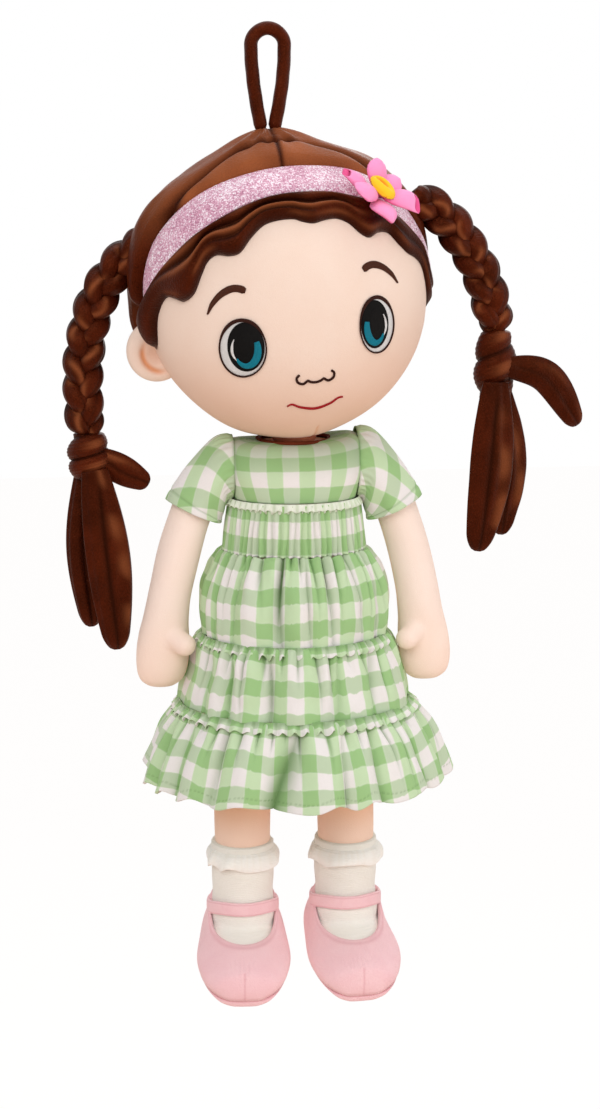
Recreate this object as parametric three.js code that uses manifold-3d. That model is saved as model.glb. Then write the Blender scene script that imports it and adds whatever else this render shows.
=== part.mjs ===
// Plush baby doll that hangs from a loop on its crown. Millimetres, +Z up, the doll faces -Y.
// The origin is the inside top of the loop, where a hook carries the doll.
// Left and right are the doll's own, so its right arm is on the -X side.
import * as THREE from 'three';
import * as BufferGeometryUtils from 'three/addons/utils/BufferGeometryUtils.js';
import Module from 'manifold-3d';

const wasm = await Module();
wasm.setup();

// Gaps and cloth
const seatGap = 0.3;
const clothThickness = 1.6;
const threadThickness = 0.7;
const cutOverrun = 30;

// Hanging loop, a stuffed plush tube bent over
const loopTubeDiameter = 7.5;
const loopOpeningWidth = 10.9;
const loopOpeningLength = 47.6;
const loopBesideBody = 14.5;

// Head, a stuffed ball that leans and turns a little
const headWidth = 158;
const headDepth = 138;
const headHeight = 158;
const headBesideBody = 4.5;
const headTiltDegrees = 7;
const headTurnDegrees = 4;

// Hair, padded plush sewn round the head
const crownHairThickness = 11.5;
const hairRimThickness = 5;
const fringeThickness = 8;
const fringeRimThickness = 3.5;

// Padded band over the crown
const bandWidth = 21;
const bandThickness = 4;
const bandAhead = 15;
const bandTiltDegrees = 70;
const bandFrontTuck = 23;
const bandBackTuck = 9;

// Ears
const earHeight = 35;
const earReach = 12.5;
const earThickness = 10;
const earBelowCentre = 20;
const earBehindCentre = 5;

// Face, embroidered
const eyeWidth = 24;
const eyeHeight = 31.5;
const eyeFromMiddle = 36.8;
const eyeBelowCentre = 15.5;
const irisWidth = 17;
const irisHeight = 22;
const pupilWidth = 11.5;
const pupilHeight = 15;
const browWidth = 20;
const browRise = 9;
const browThread = 3.4;
const browBesideEye = 5.2;
const browAboveCentre = 9;
const noseWidth = 21;
const noseCurl = 3;
const noseBelowCentre = 38.5;
const faceThread = 1.8;
const mouthWidth = 31;
const mouthCurve = 4.6;
const mouthBelowCentre = 52.5;

// Flower on the band
const petalLength = 19;
const petalWidth = 21;
const petalThickness = 4.5;
const petalLift = 6;
const petalStagger = 3.8;
const flowerCentreWidth = 15;
const flowerCentreLength = 18;
const flowerCentreHeight = 9;
const flowerAzimuthDegrees = 47;
const flowerPolarDegrees = 51;

// Braids, their ties and their loose ends
const braidWidth = 22;
const braidDepth = 17;
const braidLobePitch = 15;
const tieWidth = 25;
const tieDepth = 20;
const rightTieLength = 28;
const leftTieLength = 37;
const endThickness = 8;

// Neck, torso and bodice
const neckDiameter = 27;
const chestWidth = 67.6;
const chestDepth = 50;
const hipWidth = 90;
const hipDepth = 60;
const bodiceLength = 35.5;
const shoulderAboveChin = 1;
const chinClearance = 4.6;

// Skirt: a gathered midriff and three tiers
const midriffLength = 30;
const midriffTopWidth = 75;
const waistWidth = 82;
const waistDepth = 62;
const tierOneLength = 49;
const tierOneWidth = 110;
const tierOneHemWidth = 104;
const tierTwoLength = 40;
const tierTwoHemWidth = 130;
const tierThreeLength = 45;
const hemWidth = 173;
const hemDepth = 148;
const tierCount = 3;
const foldCount = 16;
const foldDepth = 3.6;
const seamFrillWidth = 9;
const headingFrillWidth = 5;

// Arms and sleeves
const armholeHeight = 38.4;
const armDiameter = 23.5;
const armRootDiameter = 30;
const armReach = 43;
const armDrop = 130;
const handWidth = 28;
const thumbLength = 17;
const thumbDiameter = 10.5;
const sleeveHemWidth = 31.5;
const sleeveHemDepth = 29;

// Legs, socks and shoes
const legApart = 61;
const legDiameter = 32;
const hipBelowWaist = 37;
const legLength = 169;
const sockThickness = 1.6;
const sockLength = 32;
const sockFrillWidth = 13;
const sockFrillDiameter = 42;
const shoeLength = 82;
const shoeWidth = 53;
const shoeHeight = 30;
const shoeHeel = 22;
const shoeWall = 3;
const soleThickness = 5;
const soleMargin = 1.2;
const footPitchDegrees = 15;
const footSplayDegrees = 4.5;
const vampWidth = 37;
const vampLength = 26;
const strapWidth = 11.5;
const strapThickness = 2.2;

// How finely round pieces are faceted
const headColumns = 24;
const headRows = 14;
const limbSides = 12;
const upperSkirtColumns = 48;
const hemColumns = 64;
const trunkColumns = 20;
const frillColumns = 48;
const gatherColumns = 36;
const ballColumns = 12;
const ballRows = 8;
const discSides = 12;
const smallSides = 8;

// Finishes
const finishes = {
  hair: { color: 0x6a3a22, roughness: 0.95 },
  skin: { color: 0xf2dccb, roughness: 0.9 },
  band: { color: 0xcf98ad, roughness: 0.6 },
  petal: { color: 0xf07fb4, roughness: 0.85 },
  yellow: { color: 0xf6c31c, roughness: 0.85 },
  white: { color: 0xf4f1ea, roughness: 0.8 },
  teal: { color: 0x157d8c, roughness: 0.7 },
  brown: { color: 0x3a2018, roughness: 0.8 },
  red: { color: 0xbb2a30, roughness: 0.8 },
  gingham: { color: 0xaecb9a, roughness: 0.9 },
  green: { color: 0x8fb878, roughness: 0.9 },
  sock: { color: 0xf0ebe0, roughness: 0.95 },
  shoe: { color: 0xf3bcc5, roughness: 0.9 },
};

function material(finish) {
  return new THREE.MeshStandardMaterial({ ...finishes[finish], metalness: 0 });
}

function named(name, geometry, finish) {
  const mesh = new THREE.Mesh(geometry, material(finish));
  mesh.name = name;
  return mesh;
}

const radians = THREE.MathUtils.degToRad;
const mix = THREE.MathUtils.lerp;

// Levels below the hook, worked out from the lengths of what hangs
const loopRadius = loopTubeDiameter / 2;
const loopEndLevel = -loopOpeningLength - seatGap;
const crownLevel = loopEndLevel - loopRadius - seatGap;
const headLevel = crownLevel - crownHairThickness - headHeight / 2;
const chinLevel = headLevel - headHeight / 2;
const shoulderLevel = chinLevel + shoulderAboveChin;
const midriffLevel = shoulderLevel - bodiceLength;
const waistLevel = midriffLevel - midriffLength;
const tierTwoLevel = waistLevel - tierOneLength;
const tierThreeLevel = tierTwoLevel - tierTwoLength;
const hemLevel = tierThreeLevel - tierThreeLength;
const hipLevel = waistLevel - hipBelowWaist;
const ankleLevel = hipLevel - legLength;

// Solids and cuts

// Turns points and faces into a closed geometry whose faces point out
function closedGeometry(points, faces) {
  const raw = new THREE.BufferGeometry();
  raw.setAttribute('position', new THREE.Float32BufferAttribute(points.flatMap((p) => p.toArray()), 3));
  raw.setIndex(faces.flat());
  const merged = BufferGeometryUtils.mergeVertices(raw, 0.0001);
  const index = merged.index.array;
  const place = merged.attributes.position;
  const kept = [];
  let volume = 0;
  const [a, b, c] = [new THREE.Vector3(), new THREE.Vector3(), new THREE.Vector3()];
  for (let i = 0; i < index.length; i += 3) {
    const [p, q, r] = [index[i], index[i + 1], index[i + 2]];
    if (p === q || q === r || r === p) continue;
    kept.push([p, q, r]);
    a.fromBufferAttribute(place, p);
    b.fromBufferAttribute(place, q);
    c.fromBufferAttribute(place, r);
    volume += a.dot(b.cross(c));
  }
  if (volume < 0) kept.forEach((face) => face.reverse());
  merged.setIndex(kept.flat());
  return merged;
}

// Skins a stack of rings; each ring is a list of points, all of one count
function skin(rings, closing) {
  const count = rings[0].length;
  const points = rings.flat();
  const faces = [];
  const last = closing === 'round' ? rings.length : rings.length - 1;
  for (let row = 0; row < last; row += 1) {
    const next = (row + 1) % rings.length;
    for (let i = 0; i < count; i += 1) {
      const j = (i + 1) % count;
      const [p, q, r, s] = [row * count + i, row * count + j, next * count + j, next * count + i];
      faces.push([p, q, r], [p, r, s]);
    }
  }
  if (closing === 'capped') {
    for (const row of [0, rings.length - 1]) {
      const centre = rings[row].reduce((sum, p) => sum.clone().add(p), new THREE.Vector3());
      points.push(centre.divideScalar(count));
      for (let i = 0; i < count; i += 1) {
        const [p, q] = [row * count + i, row * count + (i + 1) % count];
        faces.push(row === 0 ? [points.length - 1, q, p] : [points.length - 1, p, q]);
      }
    }
  }
  return closedGeometry(points, faces);
}

function toSolid(geometry) {
  const bare = geometry.clone();
  bare.deleteAttribute('normal');
  bare.deleteAttribute('uv');
  const merged = bare.index && !geometry.attributes.normal ? bare : BufferGeometryUtils.mergeVertices(bare);
  const vertProperties = new Float32Array(merged.attributes.position.array);
  const triVerts = new Uint32Array(merged.index.array);
  return new wasm.Manifold(new wasm.Mesh({ numProp: 3, vertProperties, triVerts }));
}

function toGeometry(solid) {
  const mesh = solid.getMesh();
  const geometry = new THREE.BufferGeometry();
  geometry.setAttribute('position', new THREE.BufferAttribute(mesh.vertProperties, 3));
  geometry.setIndex(new THREE.BufferAttribute(mesh.triVerts, 1));
  return geometry;
}

function cut(geometry, ...tools) {
  return toGeometry(tools.reduce((solid, tool) => solid.subtract(toSolid(tool)), toSolid(geometry)));
}

function join(...geometries) {
  return toGeometry(geometries.map(toSolid).reduce((whole, next) => whole.add(next)));
}

// A level ring: half width along X, half depth along Y, squareness 2 is an ellipse
function levelRing(z, halfWidth, halfDepth, count, squareness = 2, wave = () => 0) {
  const ring = [];
  for (let i = 0; i < count; i += 1) {
    const turn = (i / count) * 2 * Math.PI;
    const [c, s] = [Math.cos(turn), Math.sin(turn)];
    const reach = (Math.abs(c) ** squareness + Math.abs(s) ** squareness) ** (-1 / squareness);
    const bulge = wave(turn);
    ring.push(new THREE.Vector3(c * reach * (halfWidth + bulge), s * reach * (halfDepth + bulge), z));
  }
  return ring;
}

// A ring square to a direction that leans from straight down towards X
function leaningRing(centre, lean, halfWidth, halfDepth, count) {
  const across = new THREE.Vector3(Math.cos(lean), 0, Math.sin(lean));
  const ring = [];
  for (let i = 0; i < count; i += 1) {
    const turn = (i / count) * 2 * Math.PI;
    const point = centre.clone().addScaledVector(across, Math.cos(turn) * halfWidth);
    point.y += Math.sin(turn) * halfDepth;
    ring.push(point);
  }
  return ring;
}

// A tube along points; the section is set by widths across and depths along the reference
function tube(points, halfWidths, halfDepths, sides, reference) {
  const rings = points.map((point, i) => {
    const before = points[Math.max(i - 1, 0)];
    const after = points[Math.min(i + 1, points.length - 1)];
    const along = after.clone().sub(before).normalize();
    const across = along.clone().cross(reference).normalize();
    const deep = across.clone().cross(along).normalize();
    const ring = [];
    for (let k = 0; k < sides; k += 1) {
      const turn = (k / sides) * 2 * Math.PI;
      ring.push(point.clone()
        .addScaledVector(across, Math.cos(turn) * halfWidths[i])
        .addScaledVector(deep, Math.sin(turn) * halfDepths[i]));
    }
    return ring;
  });
  return skin(rings, 'capped');
}

function mirrored(geometry) {
  const copy = geometry.clone();
  copy.scale(-1, 1, 1);
  const index = Array.from(copy.index.array);
  for (let i = 0; i < index.length; i += 3) [index[i], index[i + 1]] = [index[i + 1], index[i]];
  copy.setIndex(index);
  return copy;
}

// Frames: everything hangs from the hook; the head has its own leaning frame
const doll = new THREE.Group();
doll.name = 'plush_baby_doll';
const bodyFrame = new THREE.Group();
bodyFrame.position.set(loopBesideBody, 0, 0);
doll.add(bodyFrame);
const headFrame = new THREE.Group();
headFrame.position.set(loopBesideBody - headBesideBody, 0, headLevel);
headFrame.rotation.set(0, -radians(headTiltDegrees), radians(headTurnDegrees), 'YZX');
doll.add(headFrame);
doll.updateMatrixWorld(true);
const headMatrix = headFrame.matrixWorld;
const headInBody = bodyFrame.matrixWorld.clone().invert().multiply(headMatrix);

// Hanging loop: a teardrop whose two round ends rest on the crown
function makeLoop() {
  const halfSpan = (loopOpeningWidth + loopTubeDiameter) / 2;
  const halfFoot = loopRadius + seatGap;
  const bendLevel = loopRadius - halfSpan;
  const side = [];
  const straightSteps = 4;
  for (let i = 0; i <= straightSteps; i += 1) {
    const share = i / straightSteps;
    const x = mix(halfFoot, halfSpan, Math.sin(share * Math.PI / 2));
    side.push(new THREE.Vector3(x, 0, mix(loopEndLevel, bendLevel, share)));
  }
  const bend = [];
  const bendSteps = 6;
  for (let i = 1; i < bendSteps; i += 1) {
    const turn = (i / bendSteps) * Math.PI;
    bend.push(new THREE.Vector3(halfSpan * Math.cos(turn), 0, bendLevel + halfSpan * Math.sin(turn)));
  }
  const otherSide = side.slice().reverse().map((p) => new THREE.Vector3(-p.x, p.y, p.z));
  const line = [...side, ...bend, ...otherSide];
  const roundShares = [0.94, 0.6];
  const foot = roundShares.map((share) => new THREE.Vector3(halfFoot, 0, loopEndLevel - loopRadius * share));
  const otherFoot = foot.slice().reverse().map((p) => new THREE.Vector3(-p.x, p.y, p.z));
  const points = [...foot, ...line, ...otherFoot];
  const footRadii = roundShares.map((share) => loopRadius * Math.sqrt(1 - share * share));
  const radii = [...footRadii, ...line.map(() => loopRadius), ...footRadii.slice().reverse()];
  return tube(points, radii, radii, smallSides, new THREE.Vector3(0, 1, 0));
}
doll.add(named('hanging_loop', makeLoop(), 'hair'));

// Head
function headEllipsoid(rise) {
  const ball = new THREE.SphereGeometry(1, headColumns, headRows);
  ball.rotateX(Math.PI / 2);
  ball.scale(headWidth / 2 + rise, headDepth / 2 + rise, headHeight / 2 + rise);
  return toGeometry(toSolid(ball));
}

// A point on the head: azimuth from the face towards the doll's left, polar down from the crown
function onHead(azimuth, polar, rise) {
  return new THREE.Vector3(
    (headWidth / 2 + rise) * Math.sin(polar) * Math.sin(azimuth),
    -(headDepth / 2 + rise) * Math.sin(polar) * Math.cos(azimuth),
    (headHeight / 2 + rise) * Math.cos(polar),
  );
}

// A point on the face, given across and up from the middle of the head
function onFace(across, up, rise) {
  const [x, z] = [across / (headWidth / 2), up / (headHeight / 2)];
  const y = -Math.sqrt(1 - x * x - z * z);
  return new THREE.Vector3(
    x * (headWidth / 2 + rise), y * (headDepth / 2 + rise), z * (headHeight / 2 + rise));
}

const neckBallRadius = neckDiameter / 2;
const neckLevel = chinLevel + neckBallRadius * 0.35;
const neckInHead = new THREE.Vector3(0, 0, neckLevel).applyMatrix4(headInBody.clone().invert());

function ballAt(centre, radius) {
  const ball = new THREE.SphereGeometry(radius, ballColumns, ballRows);
  ball.rotateX(Math.PI / 2);
  ball.translate(centre.x, centre.y, centre.z);
  return ball;
}
// How far a facet's middle lies inside the round shape that its corners lie on
const sag = (radius, steps) => radius * (1 - Math.cos(Math.PI / steps));
const neckSocketRadius = neckBallRadius + seatGap + sag(neckBallRadius, ballColumns) * 2;
const neckSocket = ballAt(neckInHead, neckSocketRadius);
headFrame.add(named('head', cut(headEllipsoid(0), neckSocket), 'skin'));

// Band edges, as angles down from the crown at an azimuth
function bandEdge(azimuth, reach) {
  const tilt = radians(bandTiltDegrees);
  const forward = (headDepth / 2) * Math.cos(azimuth) * Math.sin(tilt);
  const upward = (headHeight / 2) * Math.cos(tilt);
  return Math.atan2(upward, forward) + Math.asin(reach / Math.hypot(forward, upward));
}
const bandBack = (azimuth) => bandEdge(
  azimuth, bandAhead - bandWidth / 2 - bandBackTuck * Math.sin(azimuth) ** 4);
const bandFront = (azimuth) => bandEdge(
  azimuth, bandAhead + bandWidth / 2 - bandFrontTuck * (1 - Math.cos(azimuth)) ** 2);

// A padded patch on the head between two edges, over a range of azimuths
function headPatch(azimuths, topEdge, bottomEdge, rows, under, over, wraps) {
  const outer = [];
  const inner = [];
  for (const azimuth of azimuths) {
    const [outerLine, innerLine] = [[], []];
    for (let row = 0; row <= rows; row += 1) {
      const down = row / rows;
      const polar = mix(topEdge(azimuth), bottomEdge(azimuth), down);
      outerLine.push(onHead(azimuth, polar, over(azimuth, down)));
      innerLine.push(onHead(azimuth, polar, under));
    }
    outer.push(outerLine);
    inner.push(innerLine);
  }
  const rings = outer.map((line, i) => [...line, ...inner[i].slice().reverse()]);
  return skin(rings, wraps ? 'round' : 'capped');
}

function evenly(from, to, count) {
  return Array.from({ length: count + 1 }, (_, i) => mix(from, to, i / count));
}

const bandColumns = 16;
const bandRows = 2;
const edgeGapAngle = (seatGap * 2) / (headHeight / 2);
const bandEndAzimuth = radians(83);
const headWithGap = headEllipsoid(seatGap);
const bandCrown = bandThickness / 4;
const headband = headPatch(
  evenly(-bandEndAzimuth, bandEndAzimuth, bandColumns), bandBack, bandFront, bandRows, -bandThickness,
  (azimuth, down) => bandThickness + bandCrown * Math.sin(down * Math.PI), false);
headFrame.add(named('headband', cut(headband, headWithGap), 'band'));

// Fringe: the hairline is a chain of angles, from the doll's right ear to its left
const hairlineDegrees = [
  [-85, 103], [-76, 97], [-70, 87], [-62, 81], [-53, 81.5], [-46, 78.5], [-42, 69], [-35, 66], [-27, 65.5],
  [-20, 59], [-14, 55], [-8, 54], [0, 55], [6, 57], [13, 56.5], [20, 56.5], [25, 60], [31, 66.5], [38, 66],
  [45, 66], [50, 72], [57, 77], [64, 81], [70, 87], [76, 97], [85, 103],
];
const fringeRows = 3;
const hairlineAzimuths = hairlineDegrees.map(([azimuth]) => radians(azimuth));
function hairline(azimuth) {
  const at = hairlineAzimuths.findIndex((value) => value >= azimuth);
  return radians(hairlineDegrees[Math.max(at, 0)][1]);
}
const fringeOver = (azimuth, down) => mix(
  fringeThickness, fringeRimThickness, down) + fringeRimThickness * Math.sin(down * Math.PI) / 2;
const fringe = headPatch(
  hairlineAzimuths, (azimuth) => bandFront(azimuth) + edgeGapAngle, hairline,
  fringeRows, -fringeThickness, fringeOver, false);
headFrame.add(named('hair_fringe', cut(fringe, headWithGap), 'hair'));

// Hair over the crown and the back of the head, down to the nape
const capRows = 7;
const capFrontEndDegrees = 84;
const capSideStartDegrees = 84.6;
const capFrontColumns = 12;
const capBackColumns = 15;
const napeDegrees = 134;
const behindEarDegrees = 116;
const overEarDegrees = 86;
const earBackDegrees = 103;
function capRim(azimuth) {
  const turned = Math.abs(THREE.MathUtils.radToDeg(azimuth));
  const degrees = Math.min(turned, 360 - turned);
  if (degrees < (capFrontEndDegrees + capSideStartDegrees) / 2) return bandBack(azimuth) - edgeGapAngle;
  if (degrees < earBackDegrees) return radians(overEarDegrees);
  const share = (degrees - earBackDegrees) / (180 - earBackDegrees);
  return radians(mix(behindEarDegrees, napeDegrees, Math.sin(share * Math.PI / 2)));
}
const capOver = (azimuth, down) => mix(crownHairThickness, hairRimThickness, down ** 4);
const capAzimuths = [
  ...evenly(-radians(capFrontEndDegrees), radians(capFrontEndDegrees), capFrontColumns),
  ...evenly(radians(capSideStartDegrees), radians(360 - capSideStartDegrees), capBackColumns),
];
const capForm = (rise) => headPatch(capAzimuths, () => 0, capRim, capRows, -crownHairThickness,
  (azimuth, down) => capOver(azimuth, down) + rise, true);
headFrame.add(named('hair_cap', cut(capForm(0), headWithGap), 'hair'));

// Ears: flat stuffed ovals sewn at the sides, cut to the head
function makeEar(side) {
  const oval = new THREE.SphereGeometry(1, ballColumns, ballRows);
  oval.scale(earReach * 1.25, earThickness / 2, earHeight / 2);
  const seat = headWidth / 2 - earReach * 0.35;
  oval.translate(side * seat, earBehindCentre, -earBelowCentre);
  return cut(oval, headWithGap);
}
headFrame.add(named('right_ear', makeEar(-1), 'skin'));
headFrame.add(named('left_ear', makeEar(1), 'skin'));

// Embroidered patches on the face
function facePatch(centreAcross, centreUp, width, height, under, thickness) {
  const rings = [];
  const levels = [[0, under], [0.55, under], [1, under], [1, under + thickness], [0.55, under + thickness],
    [0, under + thickness]];
  for (const [reach, rise] of levels) {
    const ring = [];
    for (let i = 0; i < discSides; i += 1) {
      const turn = (i / discSides) * 2 * Math.PI;
      ring.push(onFace(
        centreAcross + Math.cos(turn) * reach * width / 2,
        centreUp + Math.sin(turn) * reach * height / 2, rise));
    }
    rings.push(ring);
  }
  return skin(rings, 'open');
}

// A line of stitches over the face, through points across and up
function faceStitch(places, halfWidths, under) {
  const rings = places.map(([across, up], i) => {
    const [beforeX, beforeZ] = places[Math.max(i - 1, 0)];
    const [afterX, afterZ] = places[Math.min(i + 1, places.length - 1)];
    const length = Math.hypot(afterX - beforeX, afterZ - beforeZ);
    const [sideX, sideZ] = [-(afterZ - beforeZ) / length, (afterX - beforeX) / length];
    const half = halfWidths[i];
    return [[1, 0], [-1, 0], [-1, 1], [1, 1]].map(([side, top]) => onFace(
      across + sideX * half * side, up + sideZ * half * side, under + top * threadThickness));
  });
  return skin(rings, 'capped');
}

const faceSteps = 45;
const browSteps = 7;
const noseSteps = 14;
const mouthSteps = 10;
const eyeUnder = seatGap + sag(headWidth, faceSteps);
const irisUnder = eyeUnder + threadThickness + seatGap;
const pupilUnder = irisUnder + threadThickness + seatGap;
for (const [side, hand] of [[-1, 'right'], [1, 'left']]) {
  const across = side * eyeFromMiddle;
  const up = -eyeBelowCentre;
  headFrame.add(named(`${hand}_eye_white`,
    facePatch(across, up, eyeWidth, eyeHeight, eyeUnder, threadThickness), 'white'));
  headFrame.add(named(`${hand}_iris`,
    facePatch(across, up, irisWidth, irisHeight, irisUnder, threadThickness), 'teal'));
  headFrame.add(named(`${hand}_pupil`,
    facePatch(across, up, pupilWidth, pupilHeight, pupilUnder, threadThickness), 'brown'));
  const browPlaces = evenly(-1, 1, browSteps).map((share) => [
    side * (eyeFromMiddle + browBesideEye + share * browWidth / 2),
    browAboveCentre + browRise * (0.85 - ((share + 0.25) / 1.25) ** 2)]);
  const browHalves = evenly(1, 0.35, browSteps).map((share) => share * browThread / 2);
  headFrame.add(named(`${hand}_brow`, faceStitch(browPlaces, browHalves, eyeUnder), 'brown'));
}
const evenThread = (places) => places.map(() => faceThread / 2);
const nosePlaces = evenly(-1, 1, noseSteps).map((share) => [
  share * noseWidth / 2, -noseBelowCentre - noseCurl * Math.cos(share * Math.PI * 2) * 0.5]);
headFrame.add(named('nose', faceStitch(nosePlaces, evenThread(nosePlaces), seatGap), 'brown'));
const mouthPlaces = evenly(-1, 1, mouthSteps).map((share) => [
  share * mouthWidth / 2, -mouthBelowCentre - mouthCurve * (1 - share * share)]);
headFrame.add(named('mouth', faceStitch(mouthPlaces, evenThread(mouthPlaces), seatGap), 'red'));

// Flower: six cupped petals round a soft oval centre, sewn to the band
const flowerSeat = fringeThickness - seatGap * 3;
function flowerFrame() {
  const frame = new THREE.Group();
  const azimuth = radians(flowerAzimuthDegrees);
  const polar = radians(flowerPolarDegrees);
  const foot = onHead(azimuth, polar, 0);
  const out = new THREE.Vector3(
    foot.x / headWidth ** 2, foot.y / headDepth ** 2, foot.z / headHeight ** 2).normalize();
  frame.position.copy(foot).addScaledVector(out, flowerSeat);
  frame.quaternion.setFromUnitVectors(new THREE.Vector3(0, 0, 1), out);
  return frame;
}
const flower = flowerFrame();
headFrame.add(flower);

const petalCount = 6;
const petalSteps = 6;
function makePetal() {
  const reaches = evenly(0, 1, petalSteps);
  const start = flowerCentreWidth / 2 - petalThickness * 0.4;
  const points = reaches.map((share) => new THREE.Vector3(
    start + share * petalLength, 0, petalThickness / 2 + petalLift * Math.sin(share * Math.PI / 2)));
  const widthAt = (share) => Math.sin(Math.PI * (0.08 + share * 0.87)) ** 0.8;
  const halves = reaches.map((share) => widthAt(share) * petalWidth / 2);
  const depths = reaches.map((share) => (petalThickness / 2) * (1 - 0.45 * share));
  return tube(points, halves, depths, smallSides, new THREE.Vector3(0, 0, 1));
}
for (let i = 0; i < petalCount; i += 1) {
  const petal = named(`petal_${i + 1}`, makePetal(), 'petal');
  petal.rotation.z = (i / petalCount) * 2 * Math.PI;
  petal.position.z = ((i + 1) % 2) * petalStagger;
  flower.add(petal);
}
function makeFlowerCentre() {
  const oval = new THREE.SphereGeometry(1, ballColumns, ballRows);
  oval.rotateX(Math.PI / 2);
  oval.scale(flowerCentreWidth / 2, flowerCentreLength / 2, flowerCentreHeight / 2);
  oval.translate(0, 0, petalThickness + petalStagger + flowerCentreHeight * 0.42);
  return oval;
}
flower.add(named('flower_centre', makeFlowerCentre(), 'yellow'));

// Braids hang beside the head. Their routes are places beside the body's middle in head widths
// and above the middle of the head in head heights.
const rightBraidShares = [
  [-0.513, 0.193], [-0.601, 0.129], [-0.671, 0.041], [-0.715, -0.06],
  [-0.741, -0.174], [-0.75, -0.288], [-0.747, -0.39], [-0.734, -0.472],
];
const leftBraidShares = [
  [0.43, 0.345], [0.506, 0.3], [0.57, 0.243],
  [0.627, 0.167], [0.677, 0.079], [0.715, -0.029], [0.734, -0.124],
];
const rightTailShares = [[-0.715, -0.554], [-0.627, -0.592], [-0.538, -0.529]];
const leftTailShares = [[0.753, -0.212], [0.905, -0.269], [1.019, -0.44]];
const rightFrontEndShares = [[-0.715, -0.605], [-0.671, -0.934], [-0.646, -1.263]];
const rightBackEndShares = [[-0.741, -0.605], [-0.753, -0.902], [-0.734, -1.193]];
const leftFrontEndShares = [[0.728, -0.314], [0.715, -0.649], [0.671, -0.934]];
const leftBackEndShares = [[0.747, -0.314], [0.797, -0.617], [0.772, -0.89]];
const braids = [
  { hand: 'right', route: rightBraidShares, tieLength: rightTieLength, tail: rightTailShares,
    frontEnd: rightFrontEndShares, backEnd: rightBackEndShares },
  { hand: 'left', route: leftBraidShares, tieLength: leftTieLength, tail: leftTailShares,
    frontEnd: leftFrontEndShares, backEnd: leftBackEndShares },
];
function headCurve(shares, depth) {
  return new THREE.CatmullRomCurve3(shares.map(([beside, above]) => new THREE.Vector3(
    beside * headWidth, depth, headLevel + above * headHeight)));
}
const stepsPerLobe = 3;
const leafSteps = 8;
const tieSides = 10;
const forward = new THREE.Vector3(0, 1, 0);
function makeBraid(braid) {
  const line = headCurve(braid.route, braidDepth / 4);
  const lobes = Math.round(line.getLength() / braidLobePitch);
  const steps = lobes * stepsPerLobe;
  const points = line.getPoints(steps);
  const swell = points.map((_, i) => 1 + 0.12 * Math.sin((i / stepsPerLobe) * Math.PI * 2));
  const ends = points.map((_, i) => Math.min(1, 0.55 + Math.min(i, steps - i) * 0.3));
  const widths = swell.map((share, i) => share * ends[i] * braidWidth / 2);
  const depths = swell.map((share, i) => share * ends[i] * braidDepth / 2);
  return tube(points, widths, depths, smallSides, forward);
}
function makeLeaf(shares, depth, width, thickness) {
  const points = headCurve(shares, depth).getPoints(leafSteps);
  const widthAt = (share) => (0.35 + 0.65 * Math.sin(Math.PI * (0.12 + share * 0.8)));
  const halves = points.map((_, i) => widthAt(i / leafSteps) * width / 2);
  const depths = points.map((_, i) => (thickness / 2) * (0.6 + 0.4 * Math.sin(Math.PI * i / leafSteps)));
  return tube(points, halves, depths, smallSides, forward);
}
const hairClear = capForm(seatGap);
hairClear.applyMatrix4(headInBody);
const tieRows = 5;
function makeTie(top, length, beside, rise) {
  return skin(evenly(0, 1, tieRows).map((share) => {
    const waist = 0.2 * Math.exp(-(((share - 0.5) / 0.12) ** 2));
    const swell = 0.62 + 0.38 * Math.sin(Math.PI * share) - waist;
    const level = mix(top + rise, top - length - rise, share);
    const ring = levelRing(level, swell * tieWidth / 2 + rise, swell * tieDepth / 2 + rise, tieSides);
    return ring.map((p) => p.add(new THREE.Vector3(beside, braidDepth / 4, 0)));
  }), 'capped');
}
const tailDepth = (braidDepth - tieDepth) / 2;
for (const braid of braids) {
  const group = new THREE.Group();
  bodyFrame.add(group);
  const [footShare, footLevelShare] = braid.route[braid.route.length - 1];
  const tieTop = headLevel + footLevelShare * headHeight;
  const tieMiddle = footShare * headWidth;
  const tieGrown = makeTie(tieTop, braid.tieLength, tieMiddle, seatGap);
  const tailAt = (rise) => makeLeaf(
    braid.tail, tailDepth, tieWidth * 0.75 + rise * 2, endThickness * 0.8 + rise * 2);
  const frontEnd = makeLeaf(braid.frontEnd, -endThickness / 2, tieWidth, endThickness);
  const backEnd = makeLeaf(braid.backEnd, endThickness, tieWidth * 0.85, endThickness);
  group.add(named(`${braid.hand}_braid`, cut(makeBraid(braid), hairClear, tieGrown), 'hair'));
  group.add(named(`${braid.hand}_braid_tie`, makeTie(tieTop, braid.tieLength, tieMiddle, 0), 'hair'));
  group.add(named(`${braid.hand}_tie_tail`, cut(tailAt(0), tieGrown), 'hair'));
  group.add(named(`${braid.hand}_braid_end_front`, cut(frontEnd, tieGrown, tailAt(seatGap)), 'hair'));
  group.add(named(`${braid.hand}_braid_end_back`, cut(backEnd, tieGrown), 'hair'));
}

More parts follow.
